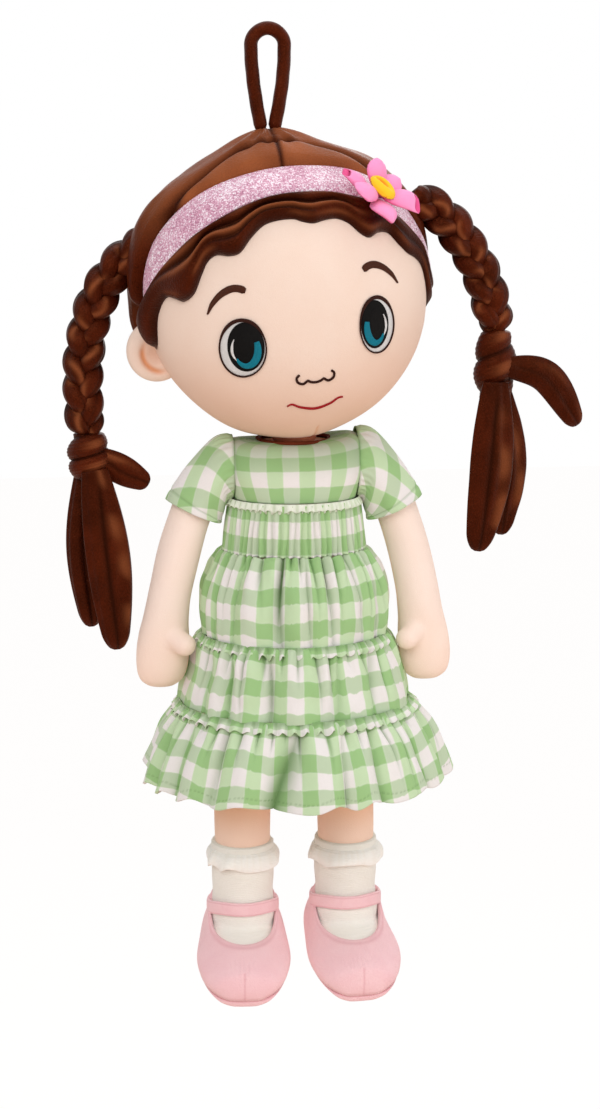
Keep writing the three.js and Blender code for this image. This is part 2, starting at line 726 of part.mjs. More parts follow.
// Torso: squarish chest with a dish under the chin, round hips
const dishLevel = chinLevel - chinClearance;
const neckStubRadius = neckBallRadius * 0.92;
const chestHalf = chestWidth / 2;
const legTopRadius = legDiameter / 2 - seatGap * 5;
const torsoFloor = hipLevel + legTopRadius + seatGap;
function trunkRings(rise, levels, count) {
  return levels.map(([z, width, depth, squareness, dip = 0]) => levelRing(
    z, width / 2 + rise, depth / 2 + rise, count, squareness).map((point) => {
    point.z -= dip * (2 * point.y / (depth + 2 * rise)) ** 2;
    return point;
  }));
}
const shoulderRound = bodiceLength * 0.14;
const trunkLevels = [
  [shoulderLevel, chestWidth * 0.84, chestDepth * 0.5, 3, shoulderAboveChin + chinClearance],
  [shoulderLevel - shoulderRound, chestWidth * 1.04, chestDepth * 0.82, 4, chinClearance],
  [mix(shoulderLevel, midriffLevel, 0.5), chestWidth * 1.06, chestDepth, 4],
  [midriffLevel, chestWidth * 0.98, chestDepth, 2.3],
  [mix(midriffLevel, waistLevel, 0.6), midriffTopWidth * 0.92, chestDepth * 1.05, 2.2],
];
const hipLevels = [
  [waistLevel, waistWidth * 0.9, waistDepth * 0.86, 2.2],
  [mix(waistLevel, torsoFloor, 0.5), hipWidth, hipDepth, 2.4],
  [mix(waistLevel, torsoFloor, 0.88), hipWidth, hipDepth * 0.9, 2.4],
  [torsoFloor, hipWidth * 0.92, hipDepth * 0.7, 2.4],
];
function sideCut(x, side) {
  const block = new THREE.BoxGeometry(cutOverrun, chestDepth * 2, bodiceLength * 2);
  block.translate(side * (x + cutOverrun / 2), 0, mix(shoulderLevel, midriffLevel, 0.5));
  return block;
}
const dish = levelRing(dishLevel, neckBallRadius * 1.15, neckBallRadius * 0.9, trunkColumns);
const torsoSolid = cut(
  skin([dish, ...trunkRings(0, [...trunkLevels, ...hipLevels], trunkColumns)], 'capped'),
  sideCut(chestHalf, -1), sideCut(chestHalf, 1));
bodyFrame.add(named('torso', torsoSolid, 'skin'));

// Neck: a short stuffed stub whose round top sits in the head
const neckSteps = 5;
function makeNeck() {
  const profile = evenly(0, Math.PI / 2, neckSteps).map((turn) => new THREE.Vector2(
    neckBallRadius * Math.sin(turn), neckLevel + neckBallRadius * Math.cos(turn)));
  profile[0].x = 0;
  profile.push(new THREE.Vector2(neckStubRadius, chinLevel));
  profile.push(new THREE.Vector2(neckStubRadius, dishLevel + seatGap));
  profile.push(new THREE.Vector2(0, dishLevel + seatGap));
  profile.reverse();
  const stub = new THREE.LatheGeometry(profile, ballColumns);
  stub.rotateX(Math.PI / 2);
  return toGeometry(toSolid(stub));
}
bodyFrame.add(named('neck', makeNeck(), 'skin'));

// Bodice: a cloth shell over the chest with round armholes
const armholeRadius = armRootDiameter / 2 + seatGap + sag(armRootDiameter / 2, limbSides);
const bodiceHalf = chestHalf + seatGap + clothThickness;
const shoulderJointLevel = midriffLevel + seatGap + armholeHeight / 2;
function makeBodice() {
  const levels = trunkLevels.slice(0, 4).map((row) => row.slice());
  levels[levels.length - 1][0] += seatGap;
  const lifted = (ring, lift) => ring.map((point) => point.clone().setZ(point.z + lift));
  const inner = trunkRings(seatGap, levels, trunkColumns);
  const chest = skin([lifted(inner[0], cutOverrun), ...inner, lifted(inner[inner.length - 1], -cutOverrun)],
    'capped');
  const shell = cut(skin(trunkRings(seatGap + clothThickness, levels, trunkColumns), 'capped'), chest);
  const arm = new THREE.CylinderGeometry(armholeRadius, armholeRadius, chestWidth * 2, limbSides);
  arm.rotateZ(Math.PI / 2);
  arm.translate(0, 0, shoulderJointLevel);
  return cut(shell, sideCut(bodiceHalf, -1), sideCut(bodiceHalf, 1), arm);
}
bodyFrame.add(named('bodice', makeBodice(), 'gingham'));

// Skirt pieces are hollow rings of cloth whose folds deepen towards the hem
function clothTube(levels, columns, thickness) {
  const outer = levels.map(([z, width, depth, wave, phase]) => levelRing(
    z, width / 2, depth / 2, columns, 2, (turn) => wave * Math.cos(foldCount * turn + phase)));
  const inner = levels.map(([z, width, depth, wave, phase]) => levelRing(
    z, width / 2 - thickness, depth / 2 - thickness, columns, 2,
    (turn) => wave * Math.cos(foldCount * turn + phase))).reverse();
  return skin([...outer, ...inner], 'round');
}
const gatherWave = clothThickness / 3;
const midriffTopDepth = chestDepth * 1.04 + midriffTopWidth - chestWidth;
bodyFrame.add(named('midriff', clothTube([
  [midriffLevel - seatGap, midriffTopWidth, midriffTopDepth, 0, 0],
  [mix(midriffLevel, waistLevel, 0.5), mix(midriffTopWidth, waistWidth, 0.6), waistDepth, gatherWave, 0],
  [waistLevel + seatGap, waistWidth, waistDepth, gatherWave, 0],
], gatherColumns, clothThickness), 'gingham'));

const tierPhase = Math.PI / 2;
const tierDepthShare = 0.86;
const midTwoWidth = mix(tierOneHemWidth, tierTwoHemWidth, 0.35);
const midThreeWidth = mix(tierTwoHemWidth, hemWidth, 0.5);
// Rows are level, width, depth and how deep the folds are for the fold depth
const tierLevels = [
  [
    [waistLevel, waistWidth, waistDepth, 0.3],
    [waistLevel - tierOneLength * 0.18, tierOneWidth * 0.93, tierOneWidth * 0.76, 0.4],
    [mix(waistLevel, tierTwoLevel, 0.55), tierOneWidth, tierOneWidth * 0.84, 0.6],
    [tierTwoLevel + seatGap, tierOneHemWidth, tierOneHemWidth * tierDepthShare, 0.5],
  ],
  [
    [tierTwoLevel, tierOneHemWidth, tierOneHemWidth * tierDepthShare, 0.4],
    [mix(tierTwoLevel, tierThreeLevel, 0.35), midTwoWidth, midTwoWidth * tierDepthShare, 0.5],
    [tierThreeLevel + seatGap, tierTwoHemWidth, tierTwoHemWidth * tierDepthShare, 0.5],
  ],
  [
    [tierThreeLevel, tierTwoHemWidth, tierTwoHemWidth * tierDepthShare, 0.4],
    [mix(tierThreeLevel, hemLevel, 0.4), midThreeWidth, midThreeWidth * tierDepthShare, 0.85],
    [hemLevel, hemWidth, hemDepth, 1],
  ],
];
tierLevels.forEach((levels, i) => {
  const folded = levels.map(([z, width, depth, wave]) => [z, width, depth, wave * foldDepth, tierPhase]);
  const columns = i === tierCount - 1 ? hemColumns : upperSkirtColumns;
  bodyFrame.add(named(`skirt_tier_${i + 1}`, clothTube(folded, columns, clothThickness), 'gingham'));
});

// Frills: thin wavy rings that stand out from a seam
function makeFrill(z, width, depth, drop, flare, wave, thickness, columns) {
  const rings = [];
  for (const [share, rise] of [[0, 0], [1, 0], [1, thickness], [0, thickness]]) {
    const out = share * flare + rise;
    rings.push(levelRing(z - share * drop, width / 2 + out, depth / 2 + out,
      columns, 2, (turn) => share * wave * Math.cos(foldCount * turn)));
  }
  return skin(rings, 'round');
}
const frillStand = foldDepth * 0.5 + seatGap * 2;
const frillFlareShares = [0.34, 0.75];
const seamFrills = [
  [tierTwoLevel, tierOneHemWidth, tierOneHemWidth * tierDepthShare],
  [tierThreeLevel, tierTwoHemWidth, tierTwoHemWidth * tierDepthShare],
];
seamFrills.forEach(([z, width, depth], i) => {
  bodyFrame.add(named(`seam_frill_${i + 1}`, makeFrill(
    z + seatGap * 2, width + frillStand * 2, depth + frillStand * 2, seamFrillWidth,
    seamFrillWidth * frillFlareShares[i], foldDepth * 0.2, threadThickness * 2, frillColumns), 'green'));
});
bodyFrame.add(named('heading_frill', makeFrill(
  midriffLevel - seatGap, midriffTopWidth + seatGap * 2, midriffTopDepth + seatGap * 2,
  headingFrillWidth, clothThickness * 0.55, 0, threadThickness, gatherColumns), 'white'));

// Arms: a tube that bends down from the shoulder, with a mitten hand and a thumb
const shoulderX = chestHalf + seatGap;
// Rows run from shoulder to hand: how far out and down, the lean in degrees, how thin and how hand-like
const armShares = [
  [0, 0, 90, 0, 0], [0.045, 0, 90, 0, 0], [0.2, 0.01, 80, 0.1, 0], [0.38, 0.09, 56, 0.6, 0],
  [0.56, 0.2, 24, 1, 0], [0.72, 0.36, 16, 1, 0], [0.86, 0.55, 9, 1, 0], [0.94, 0.72, 5, 1, 0.3],
  [0.98, 0.84, 3, 1, 1], [1, 0.94, 0, 1, 0.8],
];
function makeArm() {
  const centreAt = ([out, down]) => new THREE.Vector3(
    shoulderX + out * armReach, 0, shoulderJointLevel - down * armDrop);
  const rings = armShares.map((row) => {
    const girth = mix(armRootDiameter, armDiameter, row[3]) / 2;
    return leaningRing(centreAt(row), radians(row[2]), mix(girth, handWidth / 2, row[4]),
      mix(girth, girth * 0.9, row[4]), limbSides);
  });
  const tip = centreAt([1, 1]);
  rings.push(leaningRing(tip, 0, handWidth * 0.3, armDiameter * 0.25, limbSides));
  const palm = centreAt([0.94, 0.75]);
  palm.y = -armDiameter * 0.15;
  const thumbEnd = palm.clone().add(new THREE.Vector3(
    -thumbLength * 0.75, -thumbLength * 0.6, -thumbLength * 0.4));
  const thumbRadii = [0.9, 1, 0.9, 0.5].map((share) => share * thumbDiameter / 2);
  const thumbPlaces = [0, 0.55, 0.85, 1].map((share) => palm.clone().lerp(thumbEnd, share));
  const thumb = tube(thumbPlaces, thumbRadii, thumbRadii, smallSides, forward);
  return join(skin(rings, 'capped'), thumb);
}

// Sleeves: short cloth tubes from the armhole to a wider hem
const sleeveGrownShares = [0, 0.25, 0.6, 1];
function makeSleeve() {
  const ringAt = (grown, i, inset) => {
    const [out, down, lean] = armShares[i + 1];
    const x = i === 0 ? bodiceHalf + seatGap : shoulderX + out * armReach;
    return leaningRing(
      new THREE.Vector3(x, 0, shoulderJointLevel - down * armDrop), radians(lean),
      mix(armholeHeight, sleeveHemWidth, grown) / 2 - inset,
      mix(armholeHeight * 0.94, sleeveHemDepth, grown) / 2 - inset, limbSides);
  };
  const outer = sleeveGrownShares.map((grown, i) => ringAt(grown, i, 0));
  const inner = sleeveGrownShares.map((grown, i) => ringAt(grown, i, clothThickness)).reverse();
  return skin([...outer, ...inner], 'round');
}
const armGeometry = makeArm();
const sleeveGeometry = makeSleeve();
for (const [side, hand] of [[-1, 'right'], [1, 'left']]) {
  const place = (geometry) => (side > 0 ? geometry : mirrored(geometry));
  bodyFrame.add(named(`${hand}_arm`, place(armGeometry), 'skin'));
  bodyFrame.add(named(`${hand}_sleeve`, place(sleeveGeometry), 'gingham'));
}

// Legs hang from the hips; the foot has its own pitched frame
const legRadius = legDiameter / 2;
const sockTopLevel = ankleLevel + sockLength;
function makeLeg() {
  const topShares = [0.98, 0.8, 0.45, 0];
  const top = topShares.map((share) => {
    const reach = legTopRadius * Math.sqrt(1 - share * share);
    return levelRing(hipLevel + legTopRadius * share, reach, reach, limbSides);
  });
  const rest = legLevelShares.map(([share, size]) => levelRing(
    hipLevel - share * legLength, legRadius * size, legRadius * size, limbSides));
  return skin([...top, ...rest], 'capped');
}
function footMatrix(side) {
  const turn = new THREE.Matrix4().makeRotationFromEuler(
    new THREE.Euler(radians(footPitchDegrees), 0, side * radians(footSplayDegrees), 'ZXY'));
  return turn.setPosition(0, 0, ankleLevel);
}
const soleLevel = -shoeHeight;
// Rows run from heel to toe: how far along, how wide and how high for the shoe
const shoeShares = [
  [0, 0.3, 0.62], [0.05, 0.6, 0.88], [0.2, 0.84, 0.98], [0.45, 0.94, 0.82],
  [0.72, 1, 0.68], [0.92, 0.78, 0.5], [1, 0.34, 0.28],
];
function shoeForm(shrink) {
  const floor = soleLevel + (shrink > 0 ? seatGap : 0);
  const rings = shoeShares.map(([along, wide, high], row) => {
    const atEnd = row === 0 || row === shoeShares.length - 1;
    const inward = (along < 0.5 ? -shrink : shrink) * (atEnd ? 1 : 0.6);
    const y = shoeHeel - along * shoeLength + inward;
    const [halfWidth, top] = [wide * shoeWidth / 2 - shrink, high * shoeHeight - shrink];
    const ring = [];
    for (let i = 0; i < limbSides; i += 1) {
      const turn = (i / (limbSides - 1)) * Math.PI;
      ring.push(new THREE.Vector3(Math.cos(turn) * halfWidth, y, floor + Math.sin(turn) ** 0.7 * top));
    }
    return ring;
  });
  return skin(rings, 'capped');
}
function soleForm() {
  const outline = new THREE.Shape();
  const right = shoeShares.map(([along, wide]) => new THREE.Vector2(
    wide * shoeWidth / 2 + soleMargin, shoeHeel - along * shoeLength));
  const left = right.slice().reverse().map((p) => new THREE.Vector2(-p.x, p.y));
  outline.setFromPoints([...right, ...left]);
  const plate = new THREE.ExtrudeGeometry(outline, { depth: soleThickness, bevelEnabled: false, steps: 1 });
  plate.translate(0, 0, soleLevel - soleThickness - seatGap);
  return plate;
}
function sockTube(inset, top, bottom) {
  const radius = legRadius + sockThickness - inset;
  return [0, 0.5, 1].map((share) => levelRing(mix(top, bottom, share), radius, radius, limbSides));
}
const legLevelShares = [[0.3, 1.02], [0.6, 0.97], [0.8, 0.92], [0.94, 0.88]];
const legFootLevel = hipLevel - legLength * legLevelShares[legLevelShares.length - 1][0];
const sockFrillColumns = 24;
const strapSides = 20;
const legRise = legRadius * 0.02 + seatGap;
for (const [side, hand] of [[-1, 'right'], [1, 'left']]) {
  const legFrame = new THREE.Group();
  legFrame.position.x = side * legApart / 2;
  bodyFrame.add(legFrame);
  const pitch = footMatrix(side);
  const inFoot = (geometry) => geometry.clone().applyMatrix4(pitch);
  legFrame.add(named(`${hand}_leg`, makeLeg(), 'skin'));

  const ankleBottom = ankleLevel + soleLevel * 0.5;
  const sockOuter = skin(sockTube(0, sockTopLevel, ankleBottom), 'capped');
  const sockHollow = skin(
    sockTube(sockThickness - legRise, sockTopLevel + cutOverrun, legFootLevel - seatGap), 'capped');
  const foot = inFoot(shoeForm(shoeWall + seatGap * 2));
  const sock = cut(join(sockOuter, foot), sockHollow);
  legFrame.add(named(`${hand}_sock`, sock, 'sock'));

  const frillInner = (legRadius + sockThickness + seatGap) * 2;
  const frillRings = [[0, 0, 0], [1, 1, 0], [1, 1, 1], [0, 0, 1]].map(([down, out, rise]) => levelRing(
    sockTopLevel - down * sockFrillWidth,
    mix(frillInner, sockFrillDiameter, out) / 2 + rise * clothThickness,
    mix(frillInner, sockFrillDiameter, out) / 2 + rise * clothThickness, sockFrillColumns, 2,
    (turn) => out * foldDepth * 0.25 * Math.cos(turn * smallSides)));
  legFrame.add(named(`${hand}_sock_frill`, skin(frillRings, 'round'), 'sock'));

  const vampBlock = new THREE.CylinderGeometry(1, 1, shoeHeight * 2, limbSides);
  vampBlock.rotateX(Math.PI / 2);
  vampBlock.scale(vampWidth / 2, vampLength, 1);
  vampBlock.translate(0, -legRadius * 0.55, 0);
  const ankleHole = skin(sockTube(-seatGap, sockTopLevel, ankleBottom - cutOverrun), 'capped');
  const upper = cut(inFoot(shoeForm(0)), inFoot(shoeForm(shoeWall)), inFoot(vampBlock), ankleHole);
  legFrame.add(named(`${hand}_shoe_upper`, upper, 'shoe'));

  const strapHalf = legRadius + sockThickness + seatGap;
  const strapRings = [[0.5, 0], [-0.5, 0], [-0.5, 1], [0.5, 1]].map(([up, rise]) => levelRing(
    ankleLevel + up * strapWidth, strapHalf + rise * strapThickness, strapHalf + rise * strapThickness,
    strapSides));
  legFrame.add(named(`${hand}_shoe_strap`, cut(skin(strapRings, 'round'), inFoot(shoeForm(0))), 'shoe'));
  legFrame.add(named(`${hand}_shoe_sole`, inFoot(soleForm()), 'shoe'));
}

export default doll;
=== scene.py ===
# Plush baby doll that hangs from a loop on its crown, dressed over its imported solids.
import math

import bpy
import numpy as np
from mathutils import Matrix, Vector
from numpy import cos, pi, sin


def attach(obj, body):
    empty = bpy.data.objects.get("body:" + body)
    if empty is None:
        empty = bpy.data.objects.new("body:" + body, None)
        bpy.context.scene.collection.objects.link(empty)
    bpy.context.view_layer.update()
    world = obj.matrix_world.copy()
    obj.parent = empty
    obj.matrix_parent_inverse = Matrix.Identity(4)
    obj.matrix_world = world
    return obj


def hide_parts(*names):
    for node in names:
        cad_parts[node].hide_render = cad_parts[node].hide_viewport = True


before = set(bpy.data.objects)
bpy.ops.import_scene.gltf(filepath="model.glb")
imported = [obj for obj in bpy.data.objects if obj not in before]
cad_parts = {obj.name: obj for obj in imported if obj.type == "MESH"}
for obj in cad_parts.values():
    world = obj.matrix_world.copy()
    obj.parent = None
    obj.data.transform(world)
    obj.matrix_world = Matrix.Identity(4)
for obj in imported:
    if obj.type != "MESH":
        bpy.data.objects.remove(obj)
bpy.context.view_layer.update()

# Camera, lamps and floor. The photograph looks slightly down at the doll from a little to its
# right, against plain white, under broad soft lamps.
scene = bpy.context.scene


def linked(name, data):
    """A new object that is part of the scene."""
    thing = bpy.data.objects.new(name, data)
    scene.collection.objects.link(thing)
    return thing


photo_height, focal_length, middle_shift = 1109, 2269, 6
camera_azimuth, camera_elevation, camera_distance = math.radians(-7), math.radians(12), 1.3
camera_target = Vector((0.0145, 0.0, -0.29))
camera = linked("camera", bpy.data.cameras.new("camera"))
back = Vector((sin(camera_azimuth) * cos(camera_elevation),
               -cos(camera_azimuth) * cos(camera_elevation), sin(camera_elevation)))
camera.location = camera_target + back * camera_distance
camera.rotation_euler = (-back).to_track_quat("-Z", "Y").to_euler()
camera.data.sensor_width = 36
camera.data.lens = focal_length * 36 / photo_height
camera.data.shift_x = middle_shift / photo_height
scene.camera = camera
scene.view_settings.view_transform = "Standard"


def add_lamp(name, place, size, power):
    """A square area lamp at a place, aimed at the middle of the doll."""
    lamp = bpy.data.lights.new(name, "AREA")
    lamp.size, lamp.energy = size, power
    thing = linked(name, lamp)
    thing.location = place
    thing.rotation_euler = (camera_target - Vector(place)).to_track_quat("-Z", "Y").to_euler()


add_lamp("key", (-0.7, -1.7, 1.0), 1.1, 14.2)
add_lamp("fill", (1.7, -1.3, 0.1), 1.6, 11)
add_lamp("top", (0.2, 0.3, 1.3), 1.2, 6.0)
add_lamp("behind", (0.6, 1.8, 0.3), 1.4, 9)


def wire(tree, kind, inputs=None, **settings):
    """Adds a node to a tree, sets its properties, and joins or fills its inputs by name or number."""
    node = tree.nodes.new(kind)
    for key, value in settings.items():
        setattr(node, key, value)
    for key, value in (inputs or {}).items():
        if isinstance(value, bpy.types.NodeSocket):
            tree.links.new(value, node.inputs[key])
        else:
            node.inputs[key].default_value = value
    return node


def maths(tree, operation, *values):
    """The result of an operation on one or two values."""
    return wire(tree, "ShaderNodeMath", dict(enumerate(values)), operation=operation).outputs[0]


def look_white(tree, lit, seen, share, end):
    """Ends a tree in one shader for the light that falls on things, and with a share of another
    for what the camera sees directly."""
    path = wire(tree, "ShaderNodeLightPath")
    share = maths(tree, "MULTIPLY", path.outputs["Is Camera Ray"], share)
    mixed = wire(tree, "ShaderNodeMixShader", {0: share, 1: lit.outputs[0], 2: seen.outputs[0]})
    wire(tree, end, {"Surface": mixed.outputs[0]})


world = bpy.data.worlds.new("studio")
scene.world = world
world.use_nodes = True
tree = world.node_tree
tree.nodes.clear()
soft_light = wire(tree, "ShaderNodeBackground", {"Color": (1, 1, 1, 1), "Strength": 0.65})
white = wire(tree, "ShaderNodeBackground", {"Color": (1, 1, 1, 1), "Strength": 1.0})
look_white(tree, soft_light, white, 1.0, "ShaderNodeOutputWorld")

floor_mesh = bpy.data.meshes.new("floor")
floor_mesh.from_pydata([(-6, -6, -1.3), (6, -6, -1.3), (6, 6, -1.3), (-6, 6, -1.3)], [], [(0, 1, 2, 3)])
floor_paint = bpy.data.materials.new("pale floor")
floor_paint.use_nodes = True
tree = floor_paint.node_tree
tree.nodes.clear()
matt = wire(tree, "ShaderNodeBsdfDiffuse", {"Color": (0.9, 0.74, 0.64, 1)})
glow = wire(tree, "ShaderNodeEmission", {"Color": (1, 1, 1, 1), "Strength": 1.04})
look_white(tree, matt, glow, 0.9, "ShaderNodeOutputMaterial")
floor_mesh.materials.append(floor_paint)
floor = linked("floor", floor_mesh)


# Shared tools for places and shapes. Sizes from here on are millimetres from the inside top of the
# hanging loop, and each piece is a grid of points, in rows by closed columns.
both_sides = ((-1, "right"), (1, "left"))


def full_turn(count):
    """A row of even angles once round."""
    return np.linspace(0, 2 * pi, count, endpoint=False)[None, :]


def shares(count):
    """A column of even steps from 0 to 1."""
    return np.linspace(0, 1, count)[:, None]


def joined(*coordinates):
    """Places, or uv, from coordinates whose shapes go together."""
    return np.stack(np.broadcast_arrays(*coordinates), -1)


def circles(radius, angle, level, middle=0.0):
    """Circles of a radius round an upright line, at one level each."""
    return joined(middle + radius * cos(angle), radius * sin(angle), level)


def directions(vectors):
    """Vectors brought to a length of 1."""
    return vectors / np.maximum(np.linalg.norm(vectors, axis=-1, keepdims=True), 1e-9)


def path_lengths(points, axis):
    """Running length along one axis of a curve or a grid of points."""
    step = np.linalg.norm(np.diff(points, axis=axis), axis=-1)
    return np.concatenate([np.zeros_like(np.take(step, [0], axis)), np.cumsum(step, axis=axis)], axis)


def evenly_along(curve, count, endpoint=True):
    """As many evenly spaced points along a curve."""
    length = path_lengths(curve, 0)
    even = np.linspace(0, length[-1], count, endpoint=endpoint)
    return np.stack([np.interp(even, length, column) for column in curve.T], 1)


def smooth_path(places, count):
    """A smooth curve through a few places, as many evenly spaced points."""
    places = np.asarray(places, float)
    padded = np.concatenate([[2 * places[0] - places[1]], places, [2 * places[-1] - places[-2]]])
    spans = len(places) - 1
    at = np.linspace(0, spans, max(count * 4, 200))
    span = np.minimum(at.astype(int), spans - 1)
    t = (at - span)[:, None]
    p0, p1, p2, p3 = (padded[span + k] for k in range(4))
    curve = 0.5 * (2 * p1 + (p2 - p0) * t + (2 * p0 - 5 * p1 + 4 * p2 - p3) * t ** 2
                   + (3 * p1 - p0 - 3 * p2 + p3) * t ** 3)
    return evenly_along(curve, count)


def smoothed(values, width):
    """A closed row of values, each the mean of its neighbours under a bell of an odd width."""
    bell = np.hanning(width) / np.hanning(width).sum()
    return np.convolve(np.pad(values, width // 2, mode="wrap"), bell, mode="valid")


def wobble(places, size, seed):
    """Smooth lumps from about -1 to 1: the mean of seven sine waves that run different ways."""
    chance = np.random.default_rng(seed)
    ways = chance.normal(size=(7, 3))
    pitch = 2 * pi / size * chance.uniform(0.7, 1.4, (7, 1))
    ways *= pitch / np.linalg.norm(ways, axis=1, keepdims=True)
    return 1.8 * sin(np.asarray(places) @ ways.T + chance.uniform(0, 6.28, 7)).mean(-1)


def groove(distance, width):
    """1 on a line, falling smoothly to 0 a width away from it."""
    return np.exp(-(np.asarray(distance) / width) ** 2)


def groove_round(angle, width):
    """A groove where an angle is a whole number of turns."""
    return groove(np.angle(np.exp(1j * angle)), width)


def eased(value, low, high):
    """0 below low, 1 above high, and a smooth step between."""
    share = np.clip((value - low) / (high - low), 0, 1)
    return share * share * (3 - 2 * share)


def rolled(distance, radius):
    """The share of a pad's thickness at a distance from its edge: a quarter circle, then 1."""
    return np.sqrt(np.clip(1 - (1 - np.clip(distance / radius, 0, 1)) ** 2, 0, 1))


def sweep(places, half_widths, half_depths, sides, ripple=1):
    """Rings of an ellipse carried along places: its width is square to the run and to the y axis.
    A ripple, places by sides, scales the reach of each point."""
    places = np.asarray(places, float)
    run = directions(np.gradient(places, axis=0))
    across = directions(np.cross(run, [0, 1, 0]))
    deep = np.cross(across, run)
    angle = full_turn(sides)
    wide = (cos(angle) * ripple * half_widths[:, None])[..., None]
    high = (sin(angle) * ripple * half_depths[:, None])[..., None]
    return places[:, None, :] + across[:, None, :] * wide + deep[:, None, :] * high


def grid_piece(name, points, uv=None, round_rows=False, capped=False, about=None):
    """A mesh over a grid of points in mm, joined by quads. Its rows may close on themselves as its
    columns do, or its first and last row may be closed by a fan to their middle. Faces are turned
    to point away from a middle point."""
    points = np.asarray(points, float)
    rows, columns = points.shape[:2]
    r, c = np.arange(rows if round_rows else rows - 1)[:, None], np.arange(columns)
    r2, c2 = (r + 1) % rows, (c + 1) % columns
    quads = np.stack([r * columns + c, r * columns + c2, r2 * columns + c2, r2 * columns + c], -1)
    quads = quads.reshape(-1, 4)
    flat = points.reshape(-1, 3)
    fans = np.zeros((0, 3), int)
    if capped:
        last_row = (rows - 1) * columns
        first = np.stack([np.full(columns, len(flat)), c2, c], -1)
        last = np.stack([np.full(columns, len(flat) + 1), last_row + c, last_row + c2], -1)
        fans = np.concatenate([first, last])
        flat = np.concatenate([flat, [points[0].mean(0), points[-1].mean(0)]])
    about = flat.mean(0) if about is None else np.asarray(about, float)
    a, b, d = flat[quads[:, 0]], flat[quads[:, 1]], flat[quads[:, 3]]
    outward = (np.cross(b - a, d - a) * (a - about)).sum()
    if outward < 0:
        quads, fans = quads[:, ::-1], fans[:, ::-1]
    mesh = bpy.data.meshes.new(name)
    mesh.vertices.add(len(flat))
    mesh.vertices.foreach_set("co", (flat * 0.001).astype(np.float32).ravel())
    corners = np.concatenate([quads.ravel(), fans.ravel()])
    mesh.loops.add(len(corners))
    mesh.loops.foreach_set("vertex_index", corners.astype(np.int32))
    sizes = np.concatenate([np.full(len(quads), 4), np.full(len(fans), 3)])
    mesh.polygons.add(len(sizes))
    mesh.polygons.foreach_set("loop_start", (np.cumsum(sizes) - sizes).astype(np.int32))
    if uv is not None:
        places = np.stack([uv[r, c], uv[r, c + 1], uv[r + 1, c + 1], uv[r + 1, c]], 2).reshape(-1, 4, 2)
        if outward < 0:
            places = places[:, ::-1]
        places = np.concatenate([places.reshape(-1, 2), np.zeros((len(fans) * 3, 2))])
        layer = mesh.uv_layers.new(name="UVMap")
        layer.uv.foreach_set("vector", (places * 0.001).astype(np.float32).ravel())
    mesh.update(calc_edges=True)
    mesh.validate()
    mesh.shade_smooth()
    return linked(name, mesh)


def shaded(piece, values, name="shade"):
    """Stores a piece's shade attribute, for seams and painted shade, or its painted sheen attribute, one
    value from 0 to 1 for each of its points.
    """
    layer = piece.data.attributes.new(name, "FLOAT", "POINT")
    shade = np.zeros(len(piece.data.vertices), np.float32)
    values = np.clip(np.asarray(values, float).ravel(), 0, 1)
    shade[:len(values)] = values
    layer.data.foreach_set("value", shade)


def place_piece(piece, material, body, slot, *nodes, fill=None):
    """Gives a piece its material and its body, and hides the solids it stands for. Its slot is not used."""
    piece.data.materials.append(material)
    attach(piece, body)
    if nodes:
        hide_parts(*nodes)


# Shared tools for materials: colours, nodes of a shader group, and a material made from a group.
# Each group takes a place and gives a colour and a height for the bump.
def paint(red, green, blue):
    """Screen colour from 0 to 255 as the linear colour that a shader takes."""
    share = np.array([red, green, blue]) / 255
    linear = np.where(share <= 0.04045, share / 12.92, ((share + 0.055) / 1.055) ** 2.4)
    return (*linear.tolist(), 1.0)


def blended(tree, share, first, second):
    """A mix of two colours."""
    return wire(tree, "ShaderNodeMix", {0: share, 6: first, 7: second}, data_type="RGBA").outputs[2]


def noise(tree, place, scale, output="Fac", **inputs):
    """A noise texture, as a value or as three in a colour."""
    return wire(tree, "ShaderNodeTexNoise", {"Vector": place, "Scale": scale, **inputs}).outputs[output]


def ranged(tree, value, low, high, at_low=0.0, at_high=1.0):
    """A value between low and high, brought between two others."""
    return wire(tree, "ShaderNodeMapRange", {"Value": value, "From Min": low, "From Max": high,
                                             "To Min": at_low, "To Max": at_high}).outputs[0]


def make_group(name, inputs, outputs=("Height",)):
    """An empty shader group with a place and the named colours and numbers as inputs, and a colour
    and the named numbers as outputs. Returns it with the sockets of its two ends."""
    group = bpy.data.node_groups.new(name, "ShaderNodeTree")
    group.interface.new_socket("Place", in_out="INPUT", socket_type="NodeSocketVector")
    for label, value in inputs.items():
        kind = "NodeSocketColor" if isinstance(value, tuple) else "NodeSocketFloat"
        group.interface.new_socket(label, in_out="INPUT", socket_type=kind).default_value = value
    group.interface.new_socket("Colour", in_out="OUTPUT", socket_type="NodeSocketColor")
    for label in outputs:
        group.interface.new_socket(label, in_out="OUTPUT", socket_type="NodeSocketFloat")
    return group, group.nodes.new("NodeGroupInput").outputs, group.nodes.new("NodeGroupOutput").inputs


def surfaced(name, group, space, bump, strength, inputs, surface):
    """A material that a group colours and raises, laid out by its Object or UV places. A group with
    a Shade input takes the piece's shade attribute. Returns it with its tree, shader and group."""
    material = bpy.data.materials.new(name)
    material.use_nodes = True
    tree = material.node_tree
    shader = tree.nodes["Principled BSDF"]
    look = wire(tree, "ShaderNodeGroup", node_tree=group)
    tree.links.new(wire(tree, "ShaderNodeTexCoord").outputs[space], look.inputs["Place"])
    if "Shade" in look.inputs:
        shade = wire(tree, "ShaderNodeAttribute", attribute_name="shade")
        tree.links.new(shade.outputs["Fac"], look.inputs["Shade"])
    for key, value in inputs.items():
        look.inputs[key].default_value = value
    for key, value in surface.items():
        shader.inputs[key].default_value = value
    raised = wire(tree, "ShaderNodeBump", {"Height": look.outputs["Height"], "Strength": strength,
                                           "Distance": bump})
    tree.links.new(look.outputs["Colour"], shader.inputs["Base Color"])
    tree.links.new(raised.outputs[0], shader.inputs["Normal"])
    return material, tree, shader, look


